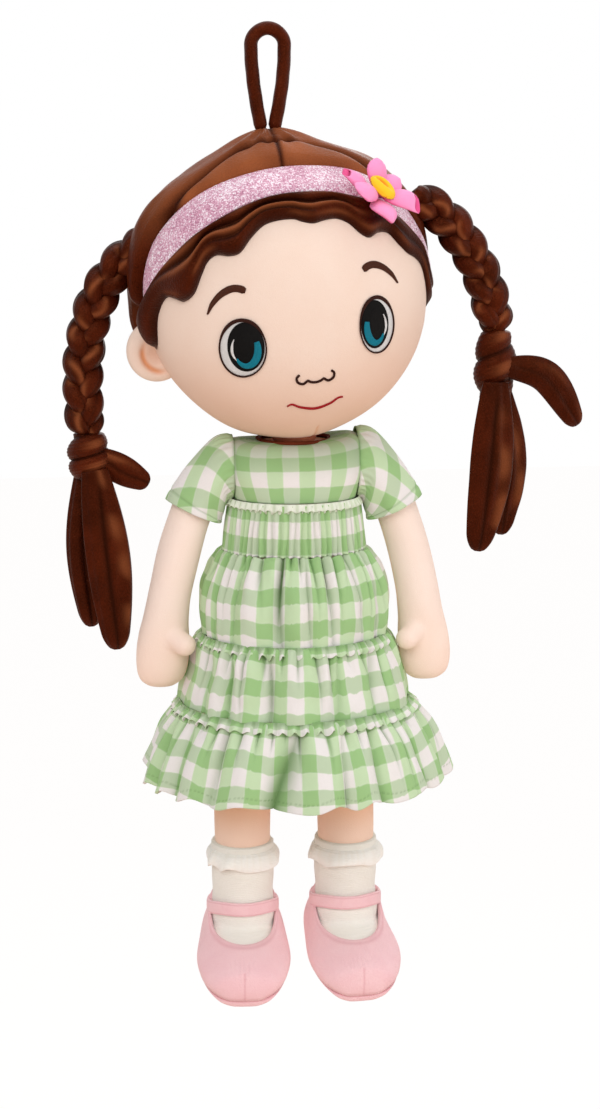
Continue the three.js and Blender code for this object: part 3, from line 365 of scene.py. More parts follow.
# Pile: soft mottling where the nap lies differently, and a fine grain of fibre ends. All hair is
# the same short chestnut plush.
pile, given, made = make_group("pile", {
    "Light": (1.0, 1.0, 1.0, 1.0), "Dark": (0.0, 0.0, 0.0, 1.0), "Seam": (0.0, 0.0, 0.0, 1.0),
    "Nap": 60.0, "Fibre": 1400.0, "Contrast": 0.5, "Shade": 0.0})
nap = noise(pile, given["Place"], given["Nap"], Detail=3.0, Roughness=0.55, Distortion=0.6)
fibre = noise(pile, given["Place"], given["Fibre"], Detail=2.0)
both = wire(pile, "ShaderNodeMix", {0: 0.4, 2: nap, 3: fibre}).outputs[0]
part = maths(pile, "MULTIPLY", ranged(pile, both, 0.35, 0.65), given["Contrast"])
tone = blended(pile, part, given["Light"], given["Dark"])
# The shade attribute mixes in the seam colour, for seam lines and for painted shade.
pile.links.new(blended(pile, given["Shade"], tone, given["Seam"]), made["Colour"])
pile.links.new(maths(pile, "ADD", fibre, nap), made["Height"])


def napped(name, light, dark, seam, nap=60.0, fibre=1400.0, contrast=0.5, bump=0.0006, rough=0.9,
           sheen=0.3, sheen_tint=(1, 1, 1, 1), sheen_rough=0.5, gloss=0.2, gloss_tint=(1, 1, 1, 1),
           painted_sheen=None):
    """A soft cloth with a pile: mottled colour, fibre bump and a sheen. Where a piece's shade
    attribute is 1 it takes its seam colour, which serves both real seams and painted shade in
    hollows, creases and under other parts. Where its painted sheen attribute is 1 it takes the
    lighter painted sheen colour: a painted highlight on crests, and where the pile lies the other
    way and catches the light."""
    material, tree, shader, look = surfaced(
        name, pile, "Object", bump, 0.7,
        {"Light": light, "Dark": dark, "Seam": seam, "Nap": nap, "Fibre": fibre, "Contrast": contrast},
        {"Roughness": rough, "Specular IOR Level": gloss, "Specular Tint": gloss_tint,
         "Sheen Weight": sheen, "Sheen Tint": sheen_tint, "Sheen Roughness": sheen_rough})
    if painted_sheen:
        sheen_mask = wire(tree, "ShaderNodeAttribute", attribute_name="painted_sheen")
        colour = blended(tree, sheen_mask.outputs["Fac"], look.outputs["Colour"], painted_sheen)
        tree.links.new(colour, shader.inputs["Base Color"])
    return material


# The near-black third colour is for seams and painted shade, and the lighter brown is for the painted sheen.
hair_plush = napped("chestnut plush", paint(80, 27, 10), paint(38, 8, 2), paint(16, 2, 1), nap=40,
                    fibre=1100, contrast=0.95, bump=0.0006, rough=0.36, sheen=0.18,
                    sheen_tint=paint(178, 84, 44), sheen_rough=0.28, gloss=0.45,
                    gloss_tint=paint(214, 112, 70), painted_sheen=paint(158, 90, 54))


# Hanging loop: a stuffed plush tube bent into a teardrop, its two ends sewn into the crown. Its
# line runs up the left side, over the bend and down the right side, with a rounded end at each foot.
loop_radius, loop_half_span, loop_foot = 3.75, 9.2, 4.05
loop_end, loop_rise, loop_bend = -47.9, 42.4, -5.45
share = shares(40)
side = np.concatenate([loop_foot + (loop_half_span - loop_foot) * sin(share * pi / 2), 0 * share,
                       loop_end + share * loop_rise], 1)
bend = np.linspace(0, pi, 30)[1:-1, None]
top = np.concatenate([loop_half_span * cos(bend), 0 * bend,
                      loop_bend + loop_half_span * sin(bend)], 1)
round_end = np.array([[loop_foot, 0, loop_end - 3.5], [loop_foot, 0, loop_end - 2.4]])
line = np.concatenate([round_end, side, top, (side * [-1, 1, 1])[::-1], (round_end * [-1, 1, 1])[::-1]])
radii = np.full(len(line), loop_radius)
radii[[0, -1]], radii[[1, -2]] = 1.3, 2.9
angle, share = full_turn(28), shares(len(line))
folds = 0.035 * sin(angle * 3 + share * 40) * sin(share * 23)
ripple = 1 + folds - 0.08 * groove_round(angle - 0.4, 0.22)
loop = grid_piece("hanging_loop_plush", sweep(line, radii, radii, 28, ripple), capped=True)
place_piece(loop, hair_plush, "loop", "hair", "hanging_loop", fill=0.8)


# Head: a stuffed ball of peach plush with a short seam under the chin. It leans to the doll's
# right and turns a little, and everything sewn to it is laid out in its own leaning frame.
head_place = np.array([10.0, 0.0, -142.45])
head_half = np.array([79.0, 69.0, 79.0])
seam_across = 0.04
arc_length, hair_arc_length = 74, 76  # mm over the ball and over its hair for each radian
head_turn = np.array(Matrix.Rotation(math.radians(-7), 3, "Y") @ Matrix.Rotation(math.radians(4), 3, "Z"))


def from_head(places):
    """Places in the head's leaning frame, as places in the doll's frame."""
    return np.asarray(places) @ head_turn.T + head_place


def over_ball(unit, rise):
    """Places a rise outside the stuffed ball, in unit directions from its middle. The stuffing
    swells and sinks it, and a seam runs under its chin."""
    seam = groove(unit[..., 0] - seam_across, 0.012) * eased(-unit[..., 2], 0.86, 0.9) * (unit[..., 1] < 0.2)
    lumps = 0.45 * wobble(unit * head_half[0], 52, 3) - 0.4 * seam
    return from_head(unit * (head_half + (rise + lumps)[..., None]))


def ball_way(azimuth, polar):
    """The direction (sin p sin a, -sin p cos a, cos p) at an azimuth from the face to the doll's
    left and an angle down from the crown."""
    return joined(sin(polar) * sin(azimuth), -sin(polar) * cos(azimuth), cos(polar))


def on_head(azimuth, polar, rise):
    """A place on the head at an azimuth and an angle down from the crown."""
    return over_ball(ball_way(azimuth, polar), rise)


def on_face(across, up, rise):
    """A place on the face, given in mm across and up from the middle of the head."""
    x, z = across / head_half[0], up / head_half[2]
    return over_ball(joined(x, -np.sqrt(np.maximum(1 - x * x - z * z, 0)), z), rise)


# The warm third colour is for seams and painted shade.
skin_plush = napped("peach plush", paint(246, 223, 208), paint(241, 210, 191), paint(228, 158, 114),
                    nap=30, fibre=1900, contrast=0.45, bump=0.00025, rough=0.85, sheen=0.15,
                    sheen_tint=paint(255, 236, 224))
azimuth = np.radians(np.linspace(-180, 180, 216, endpoint=False))[None, :]
polar = np.radians(np.linspace(1, 179, 150))[:, None]
head = grid_piece("head_plush", on_head(azimuth, polar, 0), capped=True)
chin = groove(sin(polar) * sin(azimuth) - seam_across, 0.008) * eased(-cos(polar), 0.86, 0.9)
# Painted shade: the head turns warm and darker on its underside and towards its sides, as well as along the
# chin seam.
hollow = 0.37 * eased(-cos(polar) + 0.25 * np.abs(sin(polar) * sin(azimuth)), 0.25, 1.0)
shaded(head, hollow + 0.45 * chin * (cos(azimuth) > 0))
place_piece(head, skin_plush, "head", "skin", "head", fill=0.95)


# Hair over the crown: padded plush sewn round the back of the head, with a seam from side to side
# over the crown, a middle seam, and a rolled edge behind the band and down to the nape.
band_tilt = math.radians(70)


def band_edge(azimuth, reach):
    """The angle down from the crown of a line that runs a reach in mm ahead of a tilted plane."""
    forward = head_half[1] * cos(azimuth) * sin(band_tilt)
    upward = head_half[2] * cos(band_tilt)
    return np.arctan2(upward, forward) + np.arcsin(reach / np.hypot(forward, upward))


def band_back(azimuth):
    """The band's edge on the crown's side."""
    return band_edge(azimuth, 4.5 - 9 * sin(azimuth) ** 4)


def band_front(azimuth):
    """The band's edge on the face's side."""
    return band_edge(azimuth, 25.5 - 23 * (1 - cos(azimuth)) ** 2)


turned = np.linspace(-180, 180, 720, endpoint=False)
side_angle = np.abs(turned)
band_side, nape_side, nape_rim = 84, 103, 116
rim = np.degrees(band_back(np.radians(np.minimum(side_angle, band_side)))) - 0.5
rim = np.where(side_angle > band_side, 86, rim)
back_share = np.clip((side_angle - nape_side) / 77, 0, 1)
rim = np.where(side_angle > nape_side, nape_rim + 18 * sin(back_share * pi / 2), rim)
rim = smoothed(rim, 17)
azimuth = np.radians(np.linspace(-180, 180, 288, endpoint=False))[None, :]
rim_polar = np.radians(np.interp(np.degrees(azimuth[0]), turned, rim))[None, :]
down = (1 - (1 - np.linspace(0.012, 1, 90)) ** 1.25)[:, None]
polar = down * rim_polar
unit = ball_way(azimuth, polar)
x, y = unit[..., 0] * head_half[0], unit[..., 1] * head_half[1]
thickness = 11.5 - 6.5 * down ** 4
roll = rolled((1 - down) * rim_polar * hair_arc_length, 6)
side_seam = groove(y + 14.5, 2.0) * eased(polar, 0.02, 0.1)
middle_seam = groove(x - 1.5, 1.3) * np.where(unit[..., 1] > -0.21, 0.8, 1.0)
nape_fold = groove(y - 34 - 6 * sin(unit[..., 0] * 4), 5) * 0.35
swell = 1.1 * wobble(unit * head_half[0], 46, 11)
creases = 0.35 * wobble(unit * [0.4, 1, 1] * head_half[0], 14, 5)
gathers = sin(azimuth * 11 + 1.5 * sin(azimuth * 2)) * groove(polar - 0.2, 0.13)
tent = 3.2 * groove(polar, 0.19) - 1.6 * groove(polar - 0.48, 0.24) + 0.9 * gathers
side_fill = 3.2 * groove(azimuth + 1.35, 0.5) * eased(polar, 0.5, 1.0)
rise = (thickness + swell + creases + tent + side_fill) * roll
rise = rise - 3.2 * side_seam - 1.7 * middle_seam - 2.4 * nape_fold
outer = over_ball(unit, np.maximum(rise, 0.35) - 0.9 * (roll < 0.02))
under = on_head(azimuth, np.linspace(1, 0.02, 12)[:, None] * rim_polar, 0.1)
crown_hair = grid_piece("crown_hair_plush", np.concatenate([outer, under]), capped=True)
# Darker along the seams, and painted shade along the rim, where the rolled edge turns under.
shaded(crown_hair, 0.85 * np.maximum(side_seam, middle_seam * 0.8) + 0.6 * (1 - roll) ** 2)
# Painted sheen, lighter where the pile lies the other way and catches the light: on the strip in front of
# the side seam, in soft patches, and over the top of the crown, where the light falls.
front_strip = eased(-y, 12, 19) * (0.75 + 0.25 * wobble(outer, 25, 6))
patches = 0.2 * eased(wobble(outer * [1, 1, 0.4], 46, 9), -0.6, 1.4)
over_top = 0.5 * eased(cos(polar), 0.35, 0.75) * eased(-y, -30, 6)
painted_sheen = np.maximum(front_strip, patches + over_top)
shaded(crown_hair, painted_sheen * (1 - side_seam) * (1 - middle_seam), "painted_sheen")
place_piece(crown_hair, hair_plush, "head", "hair", "hair_cap", fill=0.8)


# Fringe: the same plush, padded, from the band down to a scalloped hairline on the forehead and a
# point in front of each ear, with long folds along the band.
hairline_end = 85
hairline = np.radians([
    [-85, 103.5], [-78, 99], [-71, 88], [-64, 81.5], [-57.5, 82], [-52.5, 83], [-47, 80], [-43.5, 73],
    [-41, 68], [-37, 65.7], [-31, 66.5], [-26, 65.5], [-21, 60], [-15, 55.4], [-8, 54], [-1, 54.2],
    [3, 55.8], [8, 57.2], [14, 56.6], [20, 56.8], [25, 59.6], [29, 64.8], [33, 67], [39, 65.8],
    [45, 67], [49, 72], [54, 76.5], [61, 79.5], [68, 84], [75, 95], [85, 103]])
edge = smooth_path(hairline, 330)
azimuth, bottom = edge[:, :1], edge[:, 1:]
top = band_front(azimuth) + 0.008
across = shares(46).T
polar = top + (bottom - top) * across
length = (bottom - top) * arc_length
pad = 8 - 4.0 * across + 1.9 * sin(across * pi)
pad = pad * rolled(across * length, 2.6) * rolled((1 - across) * length, np.minimum(4.2, length / 2))
turned = np.degrees(azimuth)
middle = eased(turned, -70, -45) * (1 - eased(turned, 12, 40))
first_fold = groove(across - 0.36 - 0.05 * sin(azimuth * 3 + 1), 0.085) * middle
second_fold = groove(across - 0.66 - 0.05 * sin(azimuth * 4), 0.07) * eased(turned, -50, -30) \
    * (1 - eased(turned, -5, 20))
left_fold = groove(across - 0.5 - 0.1 * sin(azimuth * 2), 0.12) * eased(turned, 22, 40)
pad = pad * (1 - 0.5 * eased(turned, 35, 75))
lumps = 0.5 * wobble(on_head(azimuth, polar, 0), 22, 8)
ends = eased(hairline_end - np.abs(turned), 0, 4)
rise = (pad + lumps * rolled((1 - across) * length, 5)) * (0.25 + 0.75 * ends)
rise = rise - 2.9 * first_fold - 1.6 * second_fold - 1.2 * left_fold
outer = on_head(azimuth, polar, np.maximum(rise, 0.3))
under = on_head(azimuth, bottom + (top - bottom) * np.linspace(0.02, 0.98, 8)[None, :], 0.1)
fringe = grid_piece("fringe_plush", np.concatenate([outer, under], 1), capped=True)
# Painted shade in the long folds, and near the band and the hairline where the pad turns under; the whole
# fringe is also a little darker.
fold_shade = 0.95 * first_fold + 0.7 * second_fold + 0.6 * left_fold
near_edges = 0.25 + 0.6 * groove(across * length, 2.2) + 0.55 * groove((1 - across) * length, 2.0)
shaded(fringe, np.concatenate([fold_shade + near_edges, 0 * under[..., 0]], 1))
# Painted sheen on the crest between the folds and along the top and bottom rolls.
ridge = groove(across - 0.5 - 0.05 * sin(azimuth * 3 + 1), 0.07) * middle
top_roll = 0.7 * groove(across - 0.16, 0.07) * eased(wobble(outer * [1, 1, 0], 40, 12), -0.6, 0.8)
low_roll = 0.5 * groove(across - 0.84, 0.06) * eased(wobble(outer, 30, 13), -0.2, 0.8)
crests = 0.62 * np.maximum(ridge, np.maximum(top_roll, low_roll)) * ends
shaded(fringe, np.concatenate([crests, 0 * under[..., 0]], 1), "painted_sheen")
place_piece(fringe, hair_plush, "head", "hair", "hair_fringe", fill=0.8)


# Band: a padded strip of pink glitter cloth over the crown, its ends tucked in above the ears. The
# glitter is fine flakes, each with its own brightness, roughness and share of metal.
glitter, given, made = make_group("glitter", {}, ("Height", "Rough", "Metal"))
flakes = wire(glitter, "ShaderNodeTexVoronoi", {"Vector": given["Place"], "Scale": 1500.0})
parts = wire(glitter, "ShaderNodeSeparateColor", {"Color": flakes.outputs["Color"]}).outputs
chance = maths(glitter, "ADD", parts[0], noise(glitter, given["Place"], 55.0, Detail=2.0))
ramp = wire(glitter, "ShaderNodeValToRGB", {"Fac": maths(glitter, "MULTIPLY", chance, 0.6)})
stops = ramp.color_ramp.elements
stops[0].position, stops[0].color = 0.2, paint(168, 100, 132)
stops[1].position, stops[1].color = 0.9, paint(255, 246, 252)
for position, colour in ((0.42, paint(204, 142, 168)), (0.66, paint(226, 178, 198)),
                         (0.76, paint(246, 222, 234))):
    stops.new(position).color = colour
for label, socket in (("Colour", ramp.outputs["Color"]), ("Height", parts[2]),
                      ("Rough", ranged(glitter, parts[1], 0.0, 1.0, 0.55, 0.22)),
                      ("Metal", ranged(glitter, parts[1], 0.6, 1.0))):
    glitter.links.new(socket, made[label])

glitter_cloth, tree, shader, look = surfaced("pink glitter cloth", glitter, "Object", 0.0003, 0.5, {}, {})
tree.links.new(look.outputs["Rough"], shader.inputs["Roughness"])
tree.links.new(maths(tree, "MULTIPLY", look.outputs["Metal"], 0.3), shader.inputs["Metallic"])

band_end = 83
azimuth = np.radians(np.linspace(-band_end, band_end, 260))[:, None]
across = shares(26).T
back, front = band_back(azimuth), band_front(azimuth)
polar = back + (front - back) * across
length = (front - back) * arc_length
pad = (3.7 + 1.1 * sin(across * pi)) * rolled(across * length, 1.6)
pad = pad * rolled((1 - across) * length, 1.6)
pad = pad + 0.4 * wobble(on_head(azimuth, polar, 0) * [0.5, 1, 1], 17, 21) * sin(across * pi)
pad = pad * (0.3 + 0.7 * eased(band_end - np.abs(np.degrees(azimuth)), 0, 3))
outer = on_head(azimuth, polar, np.maximum(pad, 0.4))
under = on_head(azimuth, front + (back - front) * np.linspace(0.03, 0.97, 6)[None, :], 0.15)
band = grid_piece("headband_glitter_cloth", np.concatenate([outer, under], 1), capped=True)
place_piece(band, glitter_cloth, "head", "band", "headband", fill=0.5)


# Ears: flat stuffed ovals of the skin plush with a hollow front, sewn at the sides of the head. The
# left one lies back against the head, so it hardly shows from the front.
turn = full_turn(84)
over = np.linspace(0.02, pi - 0.02, 60)[:, None]
for side, hand, seat, behind, ear_half in ((-1, "right", 75.4, 5, (17.2, 5, 17.5)),
                                          (1, "left", 70.5, 11, (10.2, 4, 16.5))):
    reach = sin(over) ** 0.9
    outward, upward = reach * cos(turn) * side, reach * sin(turn)
    front = eased(cos(over), 0, 0.5)
    bowl = groove(np.hypot(outward * side - 0.12, upward + 0.12), 0.42) * front
    crease = groove(np.hypot(outward * side + 0.12, upward + 0.06) - 0.62, 0.09) * front \
        * eased(outward * side, -0.35, 0.15) * (1 - eased(upward, -0.1, 0.5))
    depth = -cos(over) + 0.84 * bowl + 0.32 * crease
    ear = joined(side * seat + ear_half[0] * outward, behind + ear_half[1] * depth,
                 -20 + ear_half[2] * upward)
    ear = grid_piece(f"{hand}_ear_plush", from_head(ear), capped=True)
    # Painted shade in the hollow front and in the crease round it.
    shaded(ear, 0.9 * crease + 0.3 * bowl)
    place_piece(ear, skin_plush, "head", "skin", f"{hand}_ear", fill=0.8)


# Face: satin stitches laid close on the plush in raised patches and lines. Each eye is a white oval
# with a dark edge, a black iris set towards the nose, a teal crescent and a white glint.
satin, given, made = make_group("satin stitch", {
    "Light": (1.0, 1.0, 1.0, 1.0), "Dark": (0.0, 0.0, 0.0, 1.0), "Turn": 0.0})
laid = wire(satin, "ShaderNodeVectorRotate", {"Vector": given["Place"], "Angle": given["Turn"]},
            rotation_type="Z_AXIS").outputs[0]
rows = wire(satin, "ShaderNodeTexWave", {"Vector": laid, "Scale": 560.0, "Distortion": 0.7,
                                         "Detail": 1.0}).outputs["Fac"]
blend = maths(satin, "MULTIPLY", rows, noise(satin, laid, 900.0))
satin.links.new(blended(satin, blend, given["Dark"], given["Light"]), made["Colour"])
satin.links.new(rows, made["Height"])


def stitched(name, light, dark, turn=0.0):
    """Embroidery thread whose stitches are bands in a piece's uv, turned by an angle."""
    return surfaced(name, satin, "UV", 0.00025, 0.6, {"Light": light, "Dark": dark, "Turn": turn},
                    {"Roughness": 0.45, "Specular IOR Level": 0.12})[0]


white_thread = stitched("white thread", paint(252, 250, 248), paint(216, 214, 214), 1.35)
black_thread = stitched("black thread", paint(15, 10, 12), paint(2, 2, 2), 1.5)
teal_thread = stitched("teal thread", paint(24, 160, 180), paint(8, 104, 128))
brown_thread = stitched("brown thread", paint(104, 56, 36), paint(58, 26, 14))
dark_thread = stitched("dark brown thread", paint(78, 36, 24), paint(40, 16, 10))
red_thread = stitched("red thread", paint(206, 44, 48), paint(140, 16, 26))


def face_patch(name, middle, half, rise, thick, material, slot, *nodes):
    """A raised oval on the face: rings (m + r h cos t, m + r h sin t), domed by 1 - r^8 and tucked
    into the plush at the rim. Its uv is across and up in mm."""
    reach = np.concatenate([np.linspace(0.03, 1, 26), [1.0, 0.94]])[:, None]
    turn = np.linspace(0, 2 * pi, 105)[None, :]
    across = middle[0] + reach * cos(turn) * half[0]
    up = middle[1] + reach * sin(turn) * half[1]
    dome = rise + thick * np.sqrt(1 - 0.92 * reach ** 8)
    dome[-2:] = [[rise - 0.2], [rise - 0.9]]
    piece = grid_piece(name, on_face(across, up, dome)[:, :-1], joined(across, up), capped=True,
                       about=head_place)
    place_piece(piece, material, "head", slot, *nodes)


def face_line(name, places, halves, rise, thick, material, slot, *nodes, closed=False):
    """A raised line of stitches through places across and up: at each one a low rounded section
    of its own half width. Its uv is along and across in mm."""
    places = np.asarray(places, float)
    run = np.roll(places, -1, 0) - np.roll(places, 1, 0) if closed else np.gradient(places, axis=0)
    run = directions(run)
    angle = np.linspace(0, 2 * pi, 17)[None, :]
    off = cos(angle) * np.asarray(halves, float)[:, None]
    spots = places[:, None, :] + np.stack([-run[:, 1:] * off, run[:, :1] * off], -1)
    lift = rise + thick * np.where(sin(angle) > 0, sin(angle), 0.7 * sin(angle))
    along = path_lengths(places, 0)
    uv = joined(along[:, None], off)
    if closed:
        uv = np.concatenate([uv, uv[-1:] + [np.diff(along).mean(), 0]])
    piece = grid_piece(name, on_face(spots[..., 0], spots[..., 1], lift)[:, :-1], uv,
                       capped=not closed, round_rows=closed)
    place_piece(piece, material, "head", slot, *nodes)


eye_across = 36.8
for side, hand, eye_half, eye_up in ((-1, "right", np.array([12.1, 15.9]), -17.6),
                                    (1, "left", np.array([10.8, 15.6]), -15.5)):
    eye = np.array([eye_across * side, eye_up])

    def in_eye(inward, up):
        """Places in an eye, in half eyes towards the nose and up, as mm across and up."""
        return np.stack([eye[0] - side * inward * eye_half[0], eye[1] + up * eye_half[1]], -1)

    face_patch(f"{hand}_eye_white_stitches", eye, eye_half * 0.97, 0.1, 0.4, white_thread, "white",
               f"{hand}_eye_white")
    turn = full_turn(120)[0]
    edge = in_eye(0.965 * cos(turn), 0.975 * sin(turn))
    face_line(f"{hand}_eye_edge_stitches", edge, 0.42 + 0.6 * eased(sin(turn), 0.3, 0.95), 0.6, 0.5,
              dark_thread, "brown", closed=True)
    face_patch(f"{hand}_iris_stitches", in_eye(0.13, 0.05), eye_half * [0.77, 0.845], 0.6, 0.4,
               black_thread, "teal", f"{hand}_iris")
    turn = np.radians(np.linspace(212, 381, 60))
    crescent = in_eye(0.13 + 0.49 * cos(turn), 0.59 * sin(turn))
    share = np.linspace(0, 1, 60)
    fullness = sin(pi * np.clip(share * 0.86 + 0.02, 0, 1)) ** 0.7 * (0.55 + 0.45 * share)
    face_line(f"{hand}_iris_crescent_stitches", crescent, 0.35 + 2.0 * fullness, 1.05, 0.45,
              teal_thread, "teal")
    face_patch(f"{hand}_pupil_stitches", in_eye(0.1, 0.2), eye_half * [0.36, 0.46], 0.75, 0.4,
               black_thread, "brown", f"{hand}_pupil")
    glint = smooth_path(in_eye(np.array([-0.33, -0.42, -0.45, -0.40, -0.28]),
                               np.array([0.36, 0.18, -0.04, -0.22, -0.37])), 40)
    face_line(f"{hand}_eye_glint_stitches", glint, 0.14 + 0.52 * sin(np.linspace(0, pi, 40)),
              1.15, 0.4, white_thread, "white")
    brow = smooth_path(np.array([[32.2, 15.2], [36, 16.8], [40, 16.7], [45, 14.2], [49.4, 9.8],
                                 [52.4, 4.6]]) * [side, 1] + [0, -1.1 + 1.1 * side], 60)
    brow_halves = np.interp(share, [0, 0.05, 0.35, 0.75, 1], [1.3, 2.0, 1.9, 1.25, 0.4])
    face_line(f"{hand}_brow_stitches", brow, brow_halves, 0.2, 0.65, brown_thread, "brown",
              f"{hand}_brow")
nostril = np.array([[-8.8, -35.7], [-10.3, -37.3], [-9.8, -39.8], [-7.0, -41.1], [-4.4, -39.5]])
tip = [[-4.4, -39.5], [-2.4, -40.6], [0, -41], [2.4, -40.6], [4.4, -39.5]]
nose = np.concatenate([smooth_path(nostril, 30), smooth_path(tip, 24)[1:-1],
                       smooth_path((nostril * [-1, 1])[::-1], 30)])
face_line("nose_stitches", nose, np.full(len(nose), 0.66), 0.2, 0.6, dark_thread, "brown", "nose")
mouth = smooth_path([[-15.4, -53.6], [-12.8, -52.7], [-8, -55.1], [0, -56.9], [8, -55.1],
                     [12.4, -52.6], [15.4, -52.3]], 70)
face_line("mouth_stitches", mouth, 0.3 + 0.4 * sin(np.linspace(0.2, pi - 0.2, 70)), 0.2, 0.6,
          red_thread, "red", "mouth")


# Flower: six folded petals of soft pink foam round a dished yellow oval, sewn on the band. The
# open and the cone petals end in a hollow, and the others roll shut.
flower_seat = 7.1
unit = ball_way(math.radians(41), math.radians(53.5))
outward = unit / head_half / np.linalg.norm(unit / head_half)
flower_turn = np.array(Vector((0, 0, 1)).rotation_difference(Vector(outward)).to_matrix())


def from_flower(places):
    """Places in the flower's frame, whose third axis points out of the head."""
    return from_head(np.asarray(places) @ flower_turn.T + unit * head_half + outward * flower_seat)


petal_foam = napped("pink foam", paint(255, 160, 208), paint(252, 138, 194), paint(232, 74, 138),
                    nap=70, fibre=2600, contrast=0.35, bump=0.0001, rough=0.6, sheen=0.1, gloss=0.3)
yellow_foam = napped("yellow foam", paint(255, 208, 26), paint(250, 190, 12), paint(244, 140, 16),
                     nap=90, fibre=2600, contrast=0.4, bump=0.0001, rough=0.6, sheen=0.1, gloss=0.3)
petal_widths = {
    "open": [3.4, 4.8, 5.6, 6.1, 6.4, 6.6, 6.7, 6.5], "round": [3.0, 4.7, 5.8, 6.4, 6.6, 6.0, 4.5, 1.2],
    "pointed": [3.6, 6.0, 7.9, 8.3, 7.3, 5.4, 3.0, 0.6], "cone": [3.4, 5.0, 6.0, 6.0, 5.4, 4.6, 3.6, 2.9],
    "square": [3.4, 4.8, 5.6, 6.0, 6.4, 6.6, 6.2, 2.8]}
hollow_ends = {"open": 1.15, "cone": 0.8}
petals = [("open", 19.4, -6), ("round", 15.6, -12), ("round", 14.4, -13), ("cone", 20.4, -3),
          ("square", 18.6, -20), ("pointed", 18.4, -12)]
angle, share = full_turn(60), shares(50)
for number, (form, petal_length, leaning) in enumerate(petals):
    half = np.interp(share, np.linspace(0, 1, 8), petal_widths[form])
    shut_end = rolled((1.0 - share) * 19, 3.5) * 0.9 + 0.1
    thick = 2.2 * (0.55 + 0.75 * sin(pi * np.clip(share * 0.9 + 0.1, 0, 1)))
    thick = thick * hollow_ends.get(form, shut_end)
    sideways = cos(angle) * half
    fold = groove_round(angle - 0.12, 0.2)
    dish = 1.6 * (sideways / 10) ** 2
    upward = sin(angle) * thick * (1 - 0.25 * fold) - dish
    upward = upward + 0.5 * groove(cos(angle), 0.5) * np.sign(sin(angle)) * share
    skew = 2.2 * (share - 0.4) * sideways / 10 * (1 if number % 2 else -1)
    scoop = 4.2 * (form in hollow_ends) * share ** 2 * eased(sin(angle), -0.7, 0.9)
    lift = 2.25 + 5.4 * sin(share * pi / 2)
    petal = np.stack([3.6 + share * petal_length + skew - scoop, sideways, lift + upward], -1)
    # Painted shade on each petal's underside, near its root, along its fold and inside a hollow end.
    shade = 0.85 * eased(-sin(angle), -0.1, 0.4) + 0.5 * groove(share, 0.25) + 0.4 * fold
    if form in hollow_ends:
        hollow = 1 - 1.3 / np.maximum(thick, 1.4)
        inner = np.stack([petal[..., 0], sideways * 0.86, lift + sin(angle) * thick * hollow - dish], -1)
        petal = np.concatenate([petal, inner[::-1][:30]])
        shade = np.concatenate([shade, 0.95 + 0 * shade[:30]])
    turn = number * pi / 3 + math.radians(leaning)
    spin = np.array([[cos(turn), sin(turn), 0], [-sin(turn), cos(turn), 0], [0, 0, 1]])
    petal = petal @ spin + [0, 0, 3.8 * ((number + 1) % 2)]
    piece = grid_piece(f"petal_{number + 1}_foam", from_flower(petal), capped=True)
    shaded(piece, shade)
    place_piece(piece, petal_foam, "head", "petal", f"petal_{number + 1}", fill=0.7)
centre_wide, centre_long, centre_rise = 5.7, 8.4, 9.4
reach, close = np.linspace(0.02, 1, 36)[:, None], np.linspace(1, 0.05, 10)[:, None]
turn = full_turn(72)
across, along = reach * cos(turn) * centre_wide, reach * sin(turn) * centre_long
hollow = groove(np.hypot((across - 0.9) / 1.7, (along + 2.0) / 5.6), 0.9)
dome = centre_rise + 3.4 * np.sqrt(1 - reach ** 3) - 2.6 * hollow
under = centre_rise - 2.6 * np.sqrt(1 - close ** 2) + 0 * turn
across = np.concatenate([across, close * cos(turn) * centre_wide])[..., None]
along = np.concatenate([along, close * sin(turn) * centre_long])[..., None]
middle = np.concatenate([across * [0.5, 0.86] + along * [0.86, -0.5],
                         np.concatenate([dome, under])[..., None]], -1)
piece = grid_piece("flower_centre_foam", from_flower(middle), capped=True)
# Painted shade in the centre's dish, in its orange third colour.
shaded(piece, 0.9 * eased(hollow, 0.2, 0.8))
place_piece(piece, yellow_foam, "head", "yellow", "flower_centre", fill=0.8)


# Braids: three stuffed plush strands plaited flat, so that each one swings A sin t from side to
# side and B sin 2t from front to back. Each is bound by two turns of a plush strip whose end
# stands out as a tail, and below it the strands hang loose as two flat locks.
beside_middle = 14.5
braid_reach, braid_sway, braid_period, braid_deep = 4.9, 3.1, 45.0, 4.25
right_route = [[-81, -112], [-95, -122], [-106, -136], [-113, -152], [-117, -170], [-118.5, -188],
               [-118, -204], [-116, -219]]
left_route = [[68, -88], [80, -95], [90, -104], [99, -116], [107, -130], [113, -147], [116, -164]]


def lengthwise(places, depth):
    """Places beside the body's middle and above the hook, at one depth, as places of the doll."""
    places = np.asarray(places, float)
    return joined(places[:, 0] + beside_middle, depth, places[:, 1])


